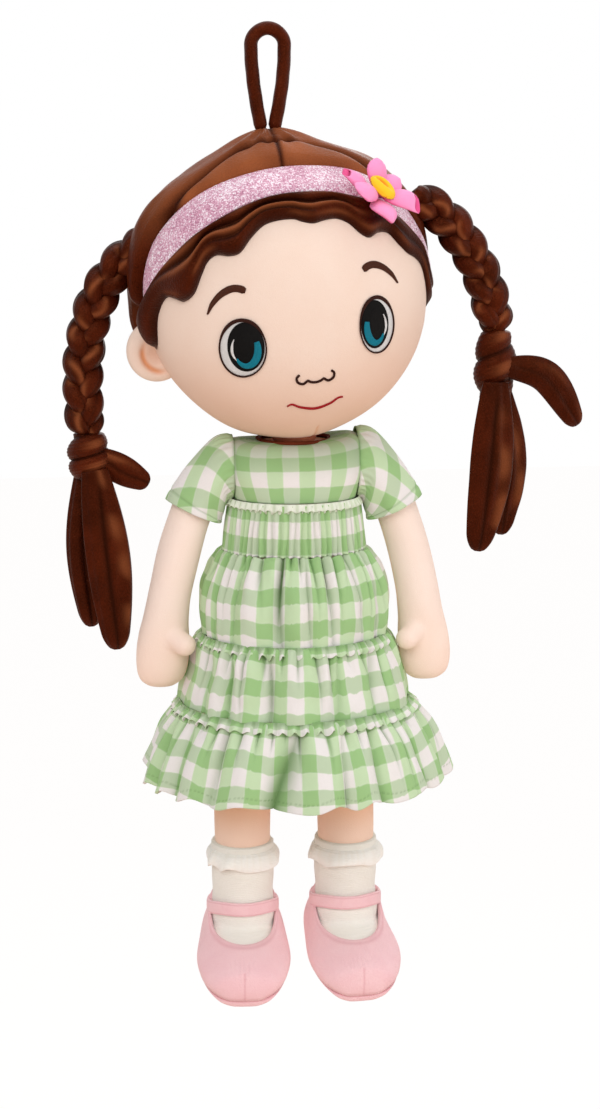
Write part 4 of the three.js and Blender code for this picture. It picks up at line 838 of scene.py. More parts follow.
for hand, route, tie_top, tie_length, tie_start in (("right", right_route, -217, 28, 0.2),
                                                    ("left", left_route, -162.5, 42, 0.55)):
    body = f"{hand}_braid"
    line = smooth_path(lengthwise(route, braid_deep), 210)
    along = np.linspace(0, path_lengths(line, 0)[-1], len(line))
    across = np.cross(directions(np.gradient(line, axis=0)), [0, 1, 0])
    ends = eased(along, -8, 5) * (0.55 + 0.45 * eased(along[-1] - along, 0, 9))
    for number in range(3):
        turn = 2 * pi * (along / braid_period + number / 3)
        swing = across * (braid_reach * ends * sin(turn))[:, None]
        sway = np.array([0, 1, 0]) * (braid_sway * ends * sin(2 * turn))[:, None]
        spread = 5.9 * ends * (1 - 0.13 * cos(2 * turn))
        angle, share = full_turn(44), shares(len(line))
        folds = 0.03 * sin(angle * 4 + share * 20 + number) + 0.02 * sin(angle * 9 + share * 45)
        ripple = 1 + folds - 0.11 * groove_round(angle - 2.2 + 4 * share, 0.16)
        rings = sweep(line + swing + sway, spread, 5.3 * ends, 44, ripple)
        piece = grid_piece(f"{hand}_braid_strand_{number + 1}_plush", rings, capped=True)
        # Painted shade where each strand passes under the others, along its seam, and on its sides where the
        # strands meet.
        under = 0.75 * eased(sin(2 * turn), -0.2, 0.8)[:, None]
        seam = groove_round(angle - 2.2 + 4 * share, 0.13)
        shaded(piece, 0.4 * seam + under + 0.45 * np.abs(cos(angle)) ** 3)
        # Painted sheen along each strand's crest.
        crest = groove_round(angle + 1.75 + 0.4 * sin(share * 60), 0.3)
        crest = 0.5 * crest * (1 - under) * eased(sin(share * 47 + number * 2), -0.6, 0.7)
        shaded(piece, crest, "painted_sheen")
        place_piece(piece, hair_plush, body, "hair", f"{hand}_braid", fill=0.9)

    share, angle = shares(80), full_turn(96)
    wind = share * 2.3 + angle / (2 * pi) + tie_start
    ridge = np.abs(sin(pi * wind)) ** 0.55
    body_swell = 0.66 + 0.34 * sin(pi * share)
    reach = (0.76 + 0.24 * ridge + 0.012 * sin(wind * 40)) * body_swell
    reach = reach * rolled(share, 0.06) * rolled(1 - share, 0.06)
    level = tie_top - share * tie_length + 0.9 * sin(angle + 1) * sin(pi * share)
    tie = joined(route[-1][0] + beside_middle + 12.5 * reach * cos(angle),
                 braid_deep + 10 * reach * sin(angle), level)
    piece = grid_piece(f"{hand}_braid_tie_plush", tie, capped=True)
    # Painted shade in the grooves between the turns, and painted sheen on the tops of the turns.
    shaded(piece, groove(ridge, 0.5))
    shaded(piece, 0.4 * eased(ridge, 0.85, 1) * groove_round(angle + 1.2, 0.5), "painted_sheen")
    place_piece(piece, hair_plush, body, "hair", f"{hand}_braid_tie", fill=0.9)

# The tails of the ties and the locks: flat stuffed paths, 0.35 + 0.65 sin wide, with long folds
# round their section. Each row has a node, places, depth, width, thickness, folds and seed.
for hand, part, node, places, depth, width, thick, folds, seed in (
        ("right", "tie_tail", "tie_tail", [[-113, -230], [-98.5, -238.5], [-82.5, -247.5]],
         1.5, 17.2, 5.4, 0.7, 31),
        ("left", "tie_tail", "tie_tail", [[120, -183], [145, -190], [164, -218]],
         -1.5, 18.75, 6.4, 0.7, 32),
        ("right", "front_lock", "braid_end_front", [[-113, -238], [-106, -290], [-102, -342]],
         -4, 25, 8, 1, 33),
        ("right", "back_lock", "braid_end_back", [[-117, -238], [-119, -285], [-116, -331]],
         8, 21.25, 8, 1, 34),
        ("left", "front_lock", "braid_end_front", [[115, -192], [113, -245], [106, -290]],
         -4, 25, 8, 1, 35),
        ("left", "back_lock", "braid_end_back", [[118, -192], [126, -240], [122, -283]],
         8, 21.25, 8, 1, 36)):
    share, angle = shares(90), full_turn(56)
    down = share[:, 0]
    top_roll = 0.25 + 0.75 * rolled((1 - down) * 60, 6)
    halves = (0.35 + 0.65 * sin(pi * (0.12 + down * 0.8))) * width / 2 * top_roll
    depths = (0.6 + 0.4 * sin(pi * down)) * thick / 2 * rolled((1 - down) * 60, 5)
    shifts = np.random.default_rng(seed).uniform(0, 6.28, 3)
    crease_place = cos(angle - 0.2 + 0.3 * sin(share * 3))
    starting = eased(share, 0.02, 0.2)
    long_folds = sum(0.07 * sin(angle * k + shift + share * 1.5) for k, shift in zip((3, 5, 8), shifts))
    ripple = 1 + long_folds * np.abs(sin(angle)) * folds \
        - 0.22 * groove(crease_place, 0.16) * folds * starting
    rings = sweep(smooth_path(lengthwise(places, depth), 90), halves, depths, 56, ripple)
    rings = rings + 0.35 * wobble(rings, 15, seed)[..., None] * [0, 1, 0]
    piece = grid_piece(f"{hand}_{part}_plush", rings, capped=True)
    # Painted shade in the long crease and near the top under the tie, and a little all over.
    shaded(piece, 0.8 * groove(crease_place, 0.15) * starting * folds + 0.2
           + 0.4 * (1 - eased(share, 0, 0.25)))
    # Painted sheen in streaks along each tail and lock.
    sheen_mask = groove_round(angle + 1.2 - 0.6 * share, 0.28)
    shaded(piece, 0.42 * sheen_mask * eased(wobble(rings, 26, seed + 1), -0.4, 0.8), "painted_sheen")
    place_piece(piece, hair_plush, f"{hand}_braid", "hair", f"{hand}_{node}", fill=0.6)


# Neck and torso: the skin plush under the clothes. The neck's round top turns inside the head, and
# the torso is flat at its sides above the waist, where the arms turn.
def level_rings(levels, angle, grown=0.0):
    """Level rings round the body's middle from rows of level, width, depth, squareness and dip.
    Each ring reaches (|cos|^n + |sin|^n)^(-1/n), and its front and back dip by the square of y."""
    z, width, depth, square, dip = (np.asarray(levels, float)[:, k:k + 1] for k in range(5))
    c, s = cos(angle), sin(angle)
    reach = (np.abs(c) ** square + np.abs(s) ** square) ** (-1 / square)
    y = s * reach * (depth / 2 + grown)
    drop = dip * (y / (depth / 2 + grown)) ** 2
    return np.stack([beside_middle + c * reach * (width / 2 + grown), y, z - drop], -1)


neck_bottom, neck_height, neck_ball, neck_radius = -225.7, 22, -216.72, 12.6
level = neck_bottom + neck_height * shares(40)
below, above = (np.sqrt(np.maximum(ball ** 2 - (level - neck_ball) ** 2, 0.2)) for ball in (13.5, 13.4))
radius = np.where(level > neck_ball, above, np.minimum(neck_radius, below))
neck = grid_piece("neck_plush", circles(radius, full_turn(60), level, beside_middle), capped=True)
neck_plush = napped("shaded neck plush", paint(190, 112, 80), paint(170, 90, 62), paint(140, 70, 48),
                    nap=60, fibre=1900, contrast=0.5, bump=0.00025, rough=0.9, sheen=0.05, gloss=0.1)
place_piece(neck, neck_plush, "neck", "skin", "neck", fill=0.9)

trunk = smooth_path([
    [-225.0, 27, 25.6, 2.1, 0], [-223.6, 36, 27, 2.4, 0.6], [-224.2, 54, 25, 3, 4.6],
    [-227.2, 68.6, 40, 4, 4.6],
    [-238.2, 71.7, 50, 4, 0], [-255.95, 66.2, 50, 2.3, 0], [-273.95, 69, 52.5, 2.2, 0],
    [-285.95, 73.8, 53.3, 2.2, 0], [-297.0, 83, 57, 2.4, 0], [-305.4, 83, 51, 2.4, 0],
    [-308.1, 76, 40, 2.4, 0]], 120)
points = level_rings(trunk, full_turn(120))
narrowed = np.clip(points[..., 0], beside_middle - 33.8, beside_middle + 33.8)
points[..., 0] = np.where(points[..., 2] < -257, points[..., 0], narrowed)
torso = grid_piece("torso_plush", points, capped=True)
# Painted shade: the torso's top turns to the warm seam colour inside the neckline.
shaded(torso, 0.95 * eased(points[..., 2], -226, -223))
place_piece(torso, skin_plush, "torso", "skin", "torso", fill=0.9)


# Dress cloth: cotton gingham with white and green squares 9.5 mm wide. Its uv is millimetres along
# and down the flat cloth, so the gathers narrow the squares as they do on the doll.
check_square = 9.5
gingham, given, made = make_group("gingham", {"Shade": 0.0})
shift = wire(gingham, "ShaderNodeVectorMath", {
    0: noise(gingham, given["Place"], 140.0, "Color"), "Scale": 0.0009}, operation="SCALE").outputs[0]
moved = wire(gingham, "ShaderNodeVectorMath", {0: given["Place"], 1: shift}, operation="ADD").outputs[0]
along = wire(gingham, "ShaderNodeSeparateXYZ", {0: moved}).outputs
stripes, borders = [], []
for axis in (0, 1):
    squares = maths(gingham, "DIVIDE", along[axis], check_square / 1000)
    fold = maths(gingham, "PINGPONG", maths(gingham, "ADD", squares, 0.5), 1.0)
    near = maths(gingham, "ABSOLUTE", maths(gingham, "SUBTRACT", fold, 0.5))
    stripes.append(ranged(gingham, fold, 0.47, 0.53))
    borders.append(ranged(gingham, near, 0.02, 0.07, 1.0, 0.0))
across_stripe = blended(gingham, stripes[0], paint(242, 236, 235), paint(202, 225, 184))
down_stripe = blended(gingham, stripes[0], paint(196, 213, 182), paint(160, 200, 136))
cloth = blended(gingham, stripes[1], across_stripe, down_stripe)
line = maths(gingham, "MULTIPLY", maths(gingham, "MAXIMUM", *borders), 0.16)
cloth = blended(gingham, line, cloth, paint(236, 240, 226))
warp, weft = [wire(gingham, "ShaderNodeTexWave", {"Vector": moved, "Scale": 520.0},
                   bands_direction=way).outputs["Fac"] for way in "XY"]
weave = maths(gingham, "MULTIPLY", warp, weft)
dim = maths(gingham, "MULTIPLY", weave, noise(gingham, given["Place"], 420.0))
cloth = blended(gingham, maths(gingham, "MULTIPLY", dim, 0.34), cloth, paint(172, 188, 154))
# The shade attribute mixes in a dark green: seams and hem stitches, and painted shade in folds and under the
# chin.
gingham.links.new(blended(gingham, given["Shade"], cloth, paint(112, 146, 92)), made["Colour"])
gingham.links.new(weave, made["Height"])
gingham_cloth = surfaced("green gingham", gingham, "UV", 0.00022, 0.4, {}, {
    "Roughness": 0.85, "Specular IOR Level": 0.2, "Sheen Weight": 0.12})[0]


def outward_from_middle(points):
    """Level directions from the body's middle to its points."""
    return directions((points - [beside_middle, 0, 0]) * [1, 1, 0])


def cloth_shell(name, points, uv, thickness, body, material, slot, *nodes, shade, flat,
                held="gathered", rests_on="torso"):
    """A tube of cloth, rows by closed columns, with an inside a thickness within it. The outside is
    carried inward along its normals, the cross products of its two gradients."""
    coarse = 3
    wrapped = np.concatenate([points[:, -1:], points, points[:, :1]], 1)
    around = (wrapped[:, 2:] - wrapped[:, :-2]) / 2
    normal = directions(np.cross(around, np.gradient(points, axis=0)))
    if ((points - points.mean((0, 1))) * normal * [1, 1, 0]).sum() < 0:
        normal = -normal
    inside = (points - normal * thickness)[::-coarse]
    piece = grid_piece(name, np.concatenate([points, inside]),
                       np.concatenate([uv, uv[::-coarse], uv[:1]]), round_rows=True)
    shade = np.broadcast_to(shade, points.shape[:2])
    shaded(piece, np.concatenate([shade, shade[::-coarse]]))
    place_piece(piece, material, body, slot, *nodes)


def wrapped_angle(columns):
    """A row of even angles from the back of the doll, all the way round."""
    return np.linspace(0.5 * pi, 2.5 * pi, columns, endpoint=False)[None, :]


# Bodice: a gingham shell over the chest, flat at the sides where the sleeves are set in, with a
# brown piping at the neckline
armhole_x = 35.6
bodice_levels = smooth_path([
    [-222.8, 36.4, 27, 2.4, 0.6], [-222.0, 48, 28, 2.6, 1.0], [-221.6, 56.8, 29, 3, 2.0],
    [-222.6, 67, 35, 3.4, 2.4], [-225.6, 71.2, 41, 4, 3.2], [-238.2, 71.7, 50, 4, 0],
    [-248, 69, 51, 3, 0], [-255.6, 66.2, 50.6, 2.3, 0]], 70)
points = level_rings(bodice_levels, wrapped_angle(300), grown=1.75)
pucker = wobble(points, 16, 41) * 0.35
points[..., 1] += np.sign(points[..., 1]) * pucker
points[..., 0] = np.clip(points[..., 0], beside_middle - armhole_x, beside_middle + armhole_x)
points[..., 2] += 2.6 * eased(points[..., 0] - beside_middle, 4, 34) * eased(points[..., 2], -246, -228)
around = path_lengths(points[45:46], 1)[0]
girth = around[-1] + around[1]
repeats = round(girth / (2 * check_square))
u = np.concatenate([around, [girth]]) / girth * repeats * 2 * check_square
v = path_lengths(points, 0).mean(1)
armhole = groove(np.abs(points[..., 0] - beside_middle) - armhole_x, 1.0) * (points[..., 2] > -254)
# Darker along the armhole seams, and painted shade towards the top, under the chin.
cloth_shell("bodice_cloth", points, joined(u[None, :], v[:, None]), 1.2, "torso", gingham_cloth,
            "gingham", "bodice", shade=0.35 * armhole + 0.58 * eased(points[..., 2], -245, -223),
            flat=(girth / 1000, v[-1] / 1000), held="stretched")
ring = level_rings([[-222.3, 37, 28.6, 2.4, 0.8]], full_turn(90), grown=1.75)[0]
small = full_turn(16)[..., None]
piping = ring[:, None, :] + outward_from_middle(ring)[:, None, :] * 1.5 * cos(small) \
    + np.array([0, 0, 1]) * 1.1 * sin(small)
piping_cotton = napped("brown piping", paint(112, 50, 30), paint(84, 34, 20), paint(52, 20, 12), nap=90,
                       fibre=2400, contrast=0.6, bump=0.0002, rough=0.9, sheen=0.0, gloss=0.06)
piping = grid_piece("neckline_piping", piping, round_rows=True)
place_piece(piping, piping_cotton, "torso", "hair", fill=0.9)


# Sleeves: short bias-cut tubes, gathered into the armhole and hemmed above the elbow. The left
# one's cap is raised, as that shoulder stands higher in the photograph.
shoulder_x, shoulder_level = 34.1, -236.45
arm_reach, arm_drop = 43.0, 130.0
sleeve_rows = smooth_path([
    [35.2, -237.7, 90, 36.0, 35.0], [42.2, -239.8, 79, 36.2, 34.6], [49.8, -249.4, 57, 34.2, 32.4],
    [58.1, -262.7, 25, 31.3, 29.0]], 64)
angle, share = full_turn(200), shares(64)
x, z, lean, high, deep = (sleeve_rows[:, k:k + 1] for k in range(5))
lean = np.radians(lean)
gathers = 0.35 * sin(angle * 26 + 2 * sin(angle * 3)) * (1 - eased(share, 0, 0.35))
hem_dip = -0.5 * groove(share - 0.88, 0.02)
flare = 1.5 * eased(share, 0.7, 1)
swell = 0.2 * sin(pi * share) + flare + gathers + hem_dip \
    + 0.7 * wobble(circles(30, angle, 40 * share), 24, 50)
swell = swell * eased(share, 0, 0.05)
off = cos(angle) * (high / 2 + swell)
flat_girth, bias_angle, raised_cap = 6 * 2 * check_square, math.radians(26), {"right": 0, "left": 3.4}
for side, hand in both_sides:
    cap = raised_cap[hand] * np.maximum(cos(angle), 0) * (1 - eased(share, 0.05, 0.85))
    points = np.stack([beside_middle + side * (x + cos(lean) * off), sin(angle) * (deep / 2 + swell),
                       z + sin(lean) * off + cap], -1)
    u = np.linspace(0, flat_girth, 201)[None, :]
    v = path_lengths(points, 0).mean(1)[:, None]
    bias = bias_angle * side
    uv = joined(u * cos(bias) - v * sin(bias), u * sin(bias) + v * cos(bias))
    # Darker along the hem seam and where the sleeve is set in, and painted shade towards the top of the
    # sleeve.
    seam = 0.4 * groove(share - 0.88, 0.014) + 0.22 * eased(points[..., 2], -242, -222)
    cloth_shell(f"{hand}_sleeve_cloth", points, uv, 1.1, f"{hand}_arm", gingham_cloth, "gingham",
                f"{hand}_sleeve", shade=seam + 0.4 * (1 - eased(share, 0, 0.04)),
                flat=(flat_girth / 1000, float(v[-1, 0]) / 1000), rests_on=f"{hand}_arm")


# Midriff: a deep waistband in many narrow gathers that deepen towards its two seams, with a small
# white ruffle along its top
angle, share = wrapped_angle(560), shares(56)
levels = smooth_path([[-256.35, 75, 59.4, 2, 0], [-262, 76.4, 60.6, 2, 0], [-270.95, 79.2, 62, 2, 0],
                      [-280, 81, 62.4, 2, 0], [-285.6, 82, 62, 2, 0]], 56)
pleats = cos(angle * 62 + 1.5 * sin(angle * 5) + 0.8 * sin(share * 4 + angle * 9))
depth = 0.55 + 0.35 * np.abs(share - 0.5) * 2
points = level_rings(levels, angle, grown=-0.3)
move = depth * pleats + 0.25 * wobble(points, 20, 61)
points = points + outward_from_middle(points) * move[..., None]
flat_width = 20 * 2 * check_square
u = np.linspace(0, flat_width, 561)[None, :]
v = path_lengths(level_rings(levels, angle), 0).mean(1)[:, None]
# Painted shade in the valleys between the gathers.
cloth_shell("midriff_cloth", points, joined(u, v), 1.0, "torso", gingham_cloth, "gingham", "midriff",
            shade=0.28 * eased(-pleats, 0.3, 1.0), flat=(flat_width / 1000, float(v[-1, 0]) / 1000))


def frill_rings(width, depth, top, tuck, drop, flare, waves, wave_out, wave_up, rows, columns, seed):
    """A ruffle round the body: it comes up a tuck's height inside its seam, turns over, falls and
    flares. Its waves, sines round the body whose pitch drifts, grow towards the free edge."""
    angle = wrapped_angle(columns)
    hidden = np.linspace(1, 0.1, 6)[:, None]
    share = np.concatenate([0 * hidden, shares(rows)])
    tucked = np.concatenate([hidden, np.zeros((rows, 1))])
    drift = np.random.default_rng(seed).uniform(0, 6.28, 4)
    turn = angle * waves + 1.6 * sin(angle * 3 + drift[0]) + 1.1 * sin(angle * 7 + drift[1])
    strength = share ** 0.8 * (0.7 + 0.3 * sin(angle * 5 + drift[2]))
    out = flare * share + wave_out * strength * sin(turn) - 0.9 * (tucked > 0)
    level = top - tuck * tucked - share * drop - wave_up * strength * cos(turn + 0.6)
    return np.stack([beside_middle + (width / 2 + out) * cos(angle), (depth / 2 + out) * sin(angle),
                     level], -1), share, turn


def flat_strip(points, row=-1):
    """The width of the strip that a ring of cloth was cut from, in whole checks, from the length of
    one of its rows; and the uv of its points along and down the strip."""
    around = path_lengths(points[row][None], 1)[0]
    girth = around[-1] + np.linalg.norm(points[row, 0] - points[row, -1])
    width = round(girth / (2 * check_square)) * 2 * check_square
    u = np.concatenate([around, [girth]]) / girth * width
    v = path_lengths(points, 0)
    v = np.concatenate([v, v[:, :1]], 1)
    return (width / 1000, float(v[-1].mean()) / 1000), joined(u[None, :], v)


ruffle_cotton = napped("white ruffle", paint(238, 240, 228), paint(214, 226, 200), paint(176, 200, 152),
                       nap=120, fibre=2400, contrast=0.5, bump=0.0002, rough=0.8, sheen=0.1)
points, share, turn = frill_rings(75.2, 59.6, -255.3, 6.4, 4.0, 1.5, 46, 1.1, 0.9, 14, 800, 71)
flat, uv = flat_strip(points)
# Painted shade on one side of each wave.
cloth_shell("heading_ruffle", points, uv, 0.5, "torso", ruffle_cotton, "white", "heading_frill",
            shade=0.35 * eased(cos(turn), 0.3, 1), flat=flat, rests_on="midriff")


# Skirt: three tiers of gingham, each gathered into the one above, with a green lettuce-edged frill
# over the two seams and a stitched hem
def tier(number, levels, fold_share, folds, depth, gathers, hem=False):
    """Fold F = 2 |cos(w/2)|^0.7 - 1, round ridges between sharp valleys, with w the fold count times
    the angle plus slow drifts, and gathers of the same form that fade out below the seam."""
    rows, seed = 80, 80 + number
    angle, share = wrapped_angle(720), shares(rows)
    profile = smooth_path([[*level, 2.0, 0.0] for level in levels], rows)
    drift = np.random.default_rng(seed).uniform(0, 6.28, 9)
    turn = folds * angle + 1.5 * sin(3 * angle + drift[0]) + 1.1 * sin(5 * angle + drift[1]) \
        + 0.7 * sin(8 * angle + drift[2]) + 0.5 * sin(2 * angle + 2.5 * share + drift[3])
    fold = 2 * np.abs(cos(turn / 2)) ** 0.7 - 1
    strength = np.interp(share, np.linspace(0, 1, len(fold_share)), fold_share)
    strength = strength * (0.72 + 0.3 * sin(4 * angle + drift[4]) + 0.22 * sin(7 * angle + drift[5]))
    pinch = gathers * angle + 1.8 * sin(6 * angle + drift[6]) + 1.2 * sin(11 * angle + share * 2)
    fine = 2 * np.abs(cos(pinch / 2)) ** 0.8 - 1
    length = 0.42 + 0.2 * sin(9 * angle + drift[7]) + 0.12 * sin(17 * angle + drift[8])
    fade = (1 - eased(share / length, 0.1, 1.7)) * eased(share, -0.06, 0.07)
    points = level_rings(profile, angle)
    move = depth * strength * fold + 2.6 * fade * fine + 0.6 * wobble(points, 20, seed)
    points = points + outward_from_middle(points) * move[..., None]
    points[..., 2] += share ** 2 * (1.9 * sin(turn + 0.5) if hem else 0.3 * sin(turn))
    points[..., 2] += 0.9 * fine * (1 - eased(share, 0, 0.13))
    flat, uv = flat_strip(points, row=-1 if hem else -25)
    down = uv[:, :-1, 1]
    uneven = wobble(points * [1, 1, 0.6], 34, seed + 7) * 1.6 * eased(share, 0, 0.25)
    uv[..., 1] += np.concatenate([uneven, uneven[:, :1]], 1)
    # Painted shade in the valleys of the folds and of the gathers under the seam.
    shade = 0.85 * fade * eased(-fine, 0.0, 1) + 0.72 * strength * eased(-fold, -0.1, 1)
    if hem:
        stitch = groove(down[-1:] - down - 5.6, 0.5) * (sin(uv[:1, :-1, 0] * 2.4) > -0.3)
        shade = shade + 0.4 * stitch
    cloth_shell(f"skirt_tier_{number}_cloth", points, uv, 1.1, "torso", gingham_cloth, "gingham",
                f"skirt_tier_{number}", shade=shade, flat=flat)


tier(1, [[-285.9, 80, 61], [-289, 83.5, 65.5], [-295, 90, 73], [-304, 98, 81.5], [-312.9, 102.4, 87],
         [-324, 104, 89], [-334.7, 103.6, 89]], [0.35, 0.85, 1.0, 0.85, 0.45], 18, 4.2, 38)
tier(2, [[-334.9, 103.6, 89], [-341, 109.5, 95], [-348.95, 114.5, 99.8], [-362, 122.4, 106],
         [-374.7, 129.4, 111.2]], [0.3, 0.85, 1.0, 0.65], 12, 5.0, 40)
tier(3, [[-374.9, 129.4, 111.2], [-382, 139, 120], [-392.95, 152.5, 131.3], [-406, 163, 140.2],
         [-419.5, 172, 147]], [0.25, 0.7, 1.0, 1.15], 16, 5.6, 46, hem=True)
for number, width, depth, top, flare in ((1, 107.4, 92.8, -333.55, 2.6), (2, 133.4, 115.2, -373.55, 4.4)):
    points, share, turn = frill_rings(width, depth, top, 4.4, 5.4, flare, 62, 1.8, 1.9, 20, 1080,
                                      90 + number)
    flat, uv = flat_strip(points, row=-8)
    # Painted shade near the top, where the frill is sewn on, and on one side of each wave.
    cloth_shell(f"seam_frill_{number}_cloth", points, uv, 0.45, "torso", gingham_cloth, "green",
                f"seam_frill_{number}", rests_on=f"skirt_tier_{number + 1}", flat=flat,
                shade=0.5 * (1 - eased(share, 0.1, 0.6)) + 0.25 * eased(-sin(turn), 0.2, 1))


# Arms: stuffed tubes of skin plush that bend down from the shoulder to a mitten hand with a thumb,
# with a seam along the inner side. They swing forward at the shoulder.
def corners_of(piece):
    """The points of a piece in metres."""
    spots = np.empty(len(piece.data.vertices) * 3, np.float32)
    piece.data.vertices.foreach_get("co", spots)
    return spots.reshape(-1, 3)


def melted(name, pieces, voxel, rounds):
    """One closed skin round several overlapping closed pieces: they are filled with voxels of a
    size in mm, and the skin is smoothed a few rounds where they meet."""
    corners, faces, count = [], [], 0
    for piece in pieces:
        corners.append(corners_of(piece))
        faces += [[count + i for i in face.vertices] for face in piece.data.polygons]
        count += len(piece.data.vertices)
        bpy.data.objects.remove(piece)
    rough = bpy.data.meshes.new(name)
    rough.from_pydata(np.concatenate(corners).tolist(), [], faces)
    holder = linked(name, rough)
    remesh = holder.modifiers.new("remesh", "REMESH")
    remesh.mode, remesh.voxel_size = "VOXEL", voxel / 1000
    smooth = holder.modifiers.new("smooth", "SMOOTH")
    smooth.factor, smooth.iterations = 0.5, rounds
    whole = bpy.data.meshes.new_from_object(holder.evaluated_get(bpy.context.evaluated_depsgraph_get()))
    holder.modifiers.clear()
    holder.data = whole
    whole.shade_smooth()
    return holder


# A lighter copy of the peach plush for the arms and legs, which are the same fabric: painted light. Its
# warmer third colour is for their seams and painted shade.
lit_limb_plush = napped("lit peach plush", paint(255, 235, 223), paint(253, 223, 207), paint(255, 184, 134),
                    nap=30, fibre=1900, contrast=0.45, bump=0.00025, rough=0.85, sheen=0.15,
                    sheen_tint=paint(255, 240, 230))
arm_rows = smooth_path([
    [0, 0, 90, 22, 22], [0.045, 0, 90, 27, 27], [0.2, 0.01, 80, 29.2, 29.4], [0.38, 0.09, 56, 26.4, 26.4],
    [0.56, 0.2, 24, 24.2, 24.2], [0.72, 0.36, 16, 24.4, 24], [0.86, 0.55, 9, 24.6, 23.6],
    [0.92, 0.68, 6, 26.4, 22.6], [0.95, 0.76, 5, 29.2, 21.6], [0.975, 0.84, 3, 30.6, 21.2],
    [0.99, 0.91, 1, 29.4, 20.4], [1, 0.96, 0, 24.4, 17], [1, 0.99, 0, 14, 10]] * np.array(
        [arm_reach, arm_drop, 1, 1, 1]), 150)
out, fall, lean, high, deep = (arm_rows[:, k:k + 1] for k in range(5))
lean = np.radians(lean)
angle = full_turn(72)
for side, hand in both_sides:
    swell = 0.35 * wobble(circles(12, angle, fall), 34, 101 + side)
    off = cos(angle) * (high / 2 + swell)
    tube = joined(beside_middle + side * (shoulder_x + out + cos(lean) * off),
                  sin(angle) * (deep / 2 + swell), shoulder_level - fall + sin(lean) * off)
    palm = np.array([beside_middle + side * (shoulder_x + 0.93 * arm_reach), -3.2,
                     shoulder_level - 0.74 * arm_drop])
    line = palm + np.array([-14.6 * side, -12.5, -8.5]) * shares(30)
    radii = 6.3 * rolled(1 - np.linspace(0, 1, 30), 0.28) + 0.15
    thumb = sweep(line, radii, radii, 32)
    piece = melted(f"{hand}_arm_plush", [grid_piece("tube", tube, capped=True),
                                         grid_piece("thumb", thumb, capped=True)], 1.15, 13)
    spots = corners_of(piece) * 1000.0
    inner = np.interp(spots[:, 2], (shoulder_level - fall[::-1, 0]), (out - high / 2)[::-1, 0])
    reach = (spots[:, 0] - beside_middle) * side - shoulder_x - inner
    seam = groove(spots[:, 1] + 2.0, 0.9) * (reach < 4.5) * (spots[:, 2] < -262)
    shaded(piece, 0.42 * seam + 0.01 + 0.14 * eased(-spots[:, 2], 310, 365))
    place_piece(piece, lit_limb_plush, f"{hand}_arm", "skin", f"{hand}_arm", fill=0.9)


# Legs: stuffed tubes that hang from the hips and end inside the socks. They carry painted shade,
# warm and darker under the skirt and paler towards the socks.
leg_apart, ankle_level = 61.0, -491.95
leg_rows = smooth_path([[-308.7, 1.2], [-310, 6.5], [-313, 10.5], [-318, 13.7], [-323, 14.8], [-340, 15.8],
                        [-373, 16.8], [-424, 16.7], [-458, 16.2], [-474, 14.8], [-481, 13.8]], 120)
level, radius = leg_rows[:, :1], leg_rows[:, 1:]
for side, hand in both_sides:
    middle = beside_middle + side * leg_apart / 2
    swell = 0.3 * wobble(circles(16, angle, level), 40, 120 + side)
    piece = grid_piece(f"{hand}_leg_plush", circles(radius + swell, angle, level, middle), capped=True)
    # Painted shade of the skirt, fading towards the socks.
    shaded(piece, 0.82 - 0.5 * eased(-level, 425, 457) + 0 * angle)
    place_piece(piece, lit_limb_plush, f"{hand}_leg", "skin", f"{hand}_leg", fill=0.9)


# Socks: thin cream knit over the ankle and the foot, with a gathered cuff that stands out. Each
# one is a single skin round an ankle tube and a foot.
def knit(name, light, dark, seam, pitch):
    """A fine ribbed knit: the pile's grain, and rows of stitches a pitch apart round the leg."""
    material = napped(name, light, dark, seam, nap=60, fibre=1800, contrast=0.4, bump=0.0002, rough=0.9,
                      sheen=0.2)
    tree = material.node_tree
    shader = tree.nodes["Principled BSDF"]
    bump = shader.inputs["Normal"].links[0].from_socket
    place = wire(tree, "ShaderNodeTexCoord")
    courses = wire(tree, "ShaderNodeTexWave", {"Vector": place.outputs["Object"], "Scale": 0.314 / pitch,
                                               "Distortion": 0.4}, bands_direction="Z")
    rows = wire(tree, "ShaderNodeBump", {"Height": courses.outputs["Fac"], "Strength": 0.35,
                                         "Distance": 0.0003, "Normal": bump})
    tree.links.new(rows.outputs[0], shader.inputs["Normal"])
    return material


sock_knit = knit("cream knit", paint(248, 244, 236), paint(236, 229, 217), paint(210, 197, 176), 0.0011)
# A lighter copy of the cream knit for the cuffs: painted light.
lit_frill_knit = knit("lit frill knit", paint(255, 252, 247), paint(252, 247, 240), paint(240, 228, 212),
                  0.0011)
shoe_length, shoe_width, shoe_height, shoe_heel = 85.5, 53.0, 30.0, 22.0
shoe_pitch, shoe_splay, sole_bottom = 19.5, 4.5, -35.3
shoe_rows = smooth_path([[0, 0.3, 0.62], [0.05, 0.6, 0.88], [0.2, 0.86, 0.98], [0.45, 0.99, 0.82],
                         [0.66, 1.05, 0.74], [0.82, 0.95, 0.67], [0.93, 0.74, 0.58], [1, 0.38, 0.4]], 80)


def in_foot(places, side):
    """Places in a shoe's frame as places of the doll: pitched down at the toe and splayed. The
    sole's sides are drawn up 6.5 (x / w)^2.5, most at the bottom."""
    splay = Matrix.Rotation(math.radians(shoe_splay * side), 3, "Z")
    turn = splay @ Matrix.Rotation(math.radians(shoe_pitch), 3, "X")
    places = np.array(places, float)
    low = np.clip(1 - (places[..., 2] - sole_bottom) / 22, 0, 1)
    places[..., 2] += 6.5 * np.clip(np.abs(places[..., 0]) / 26.5, 0, 1.1) ** 2.5 * low
    return places @ np.array(turn).T + [beside_middle + side * leg_apart / 2, 0, ankle_level]


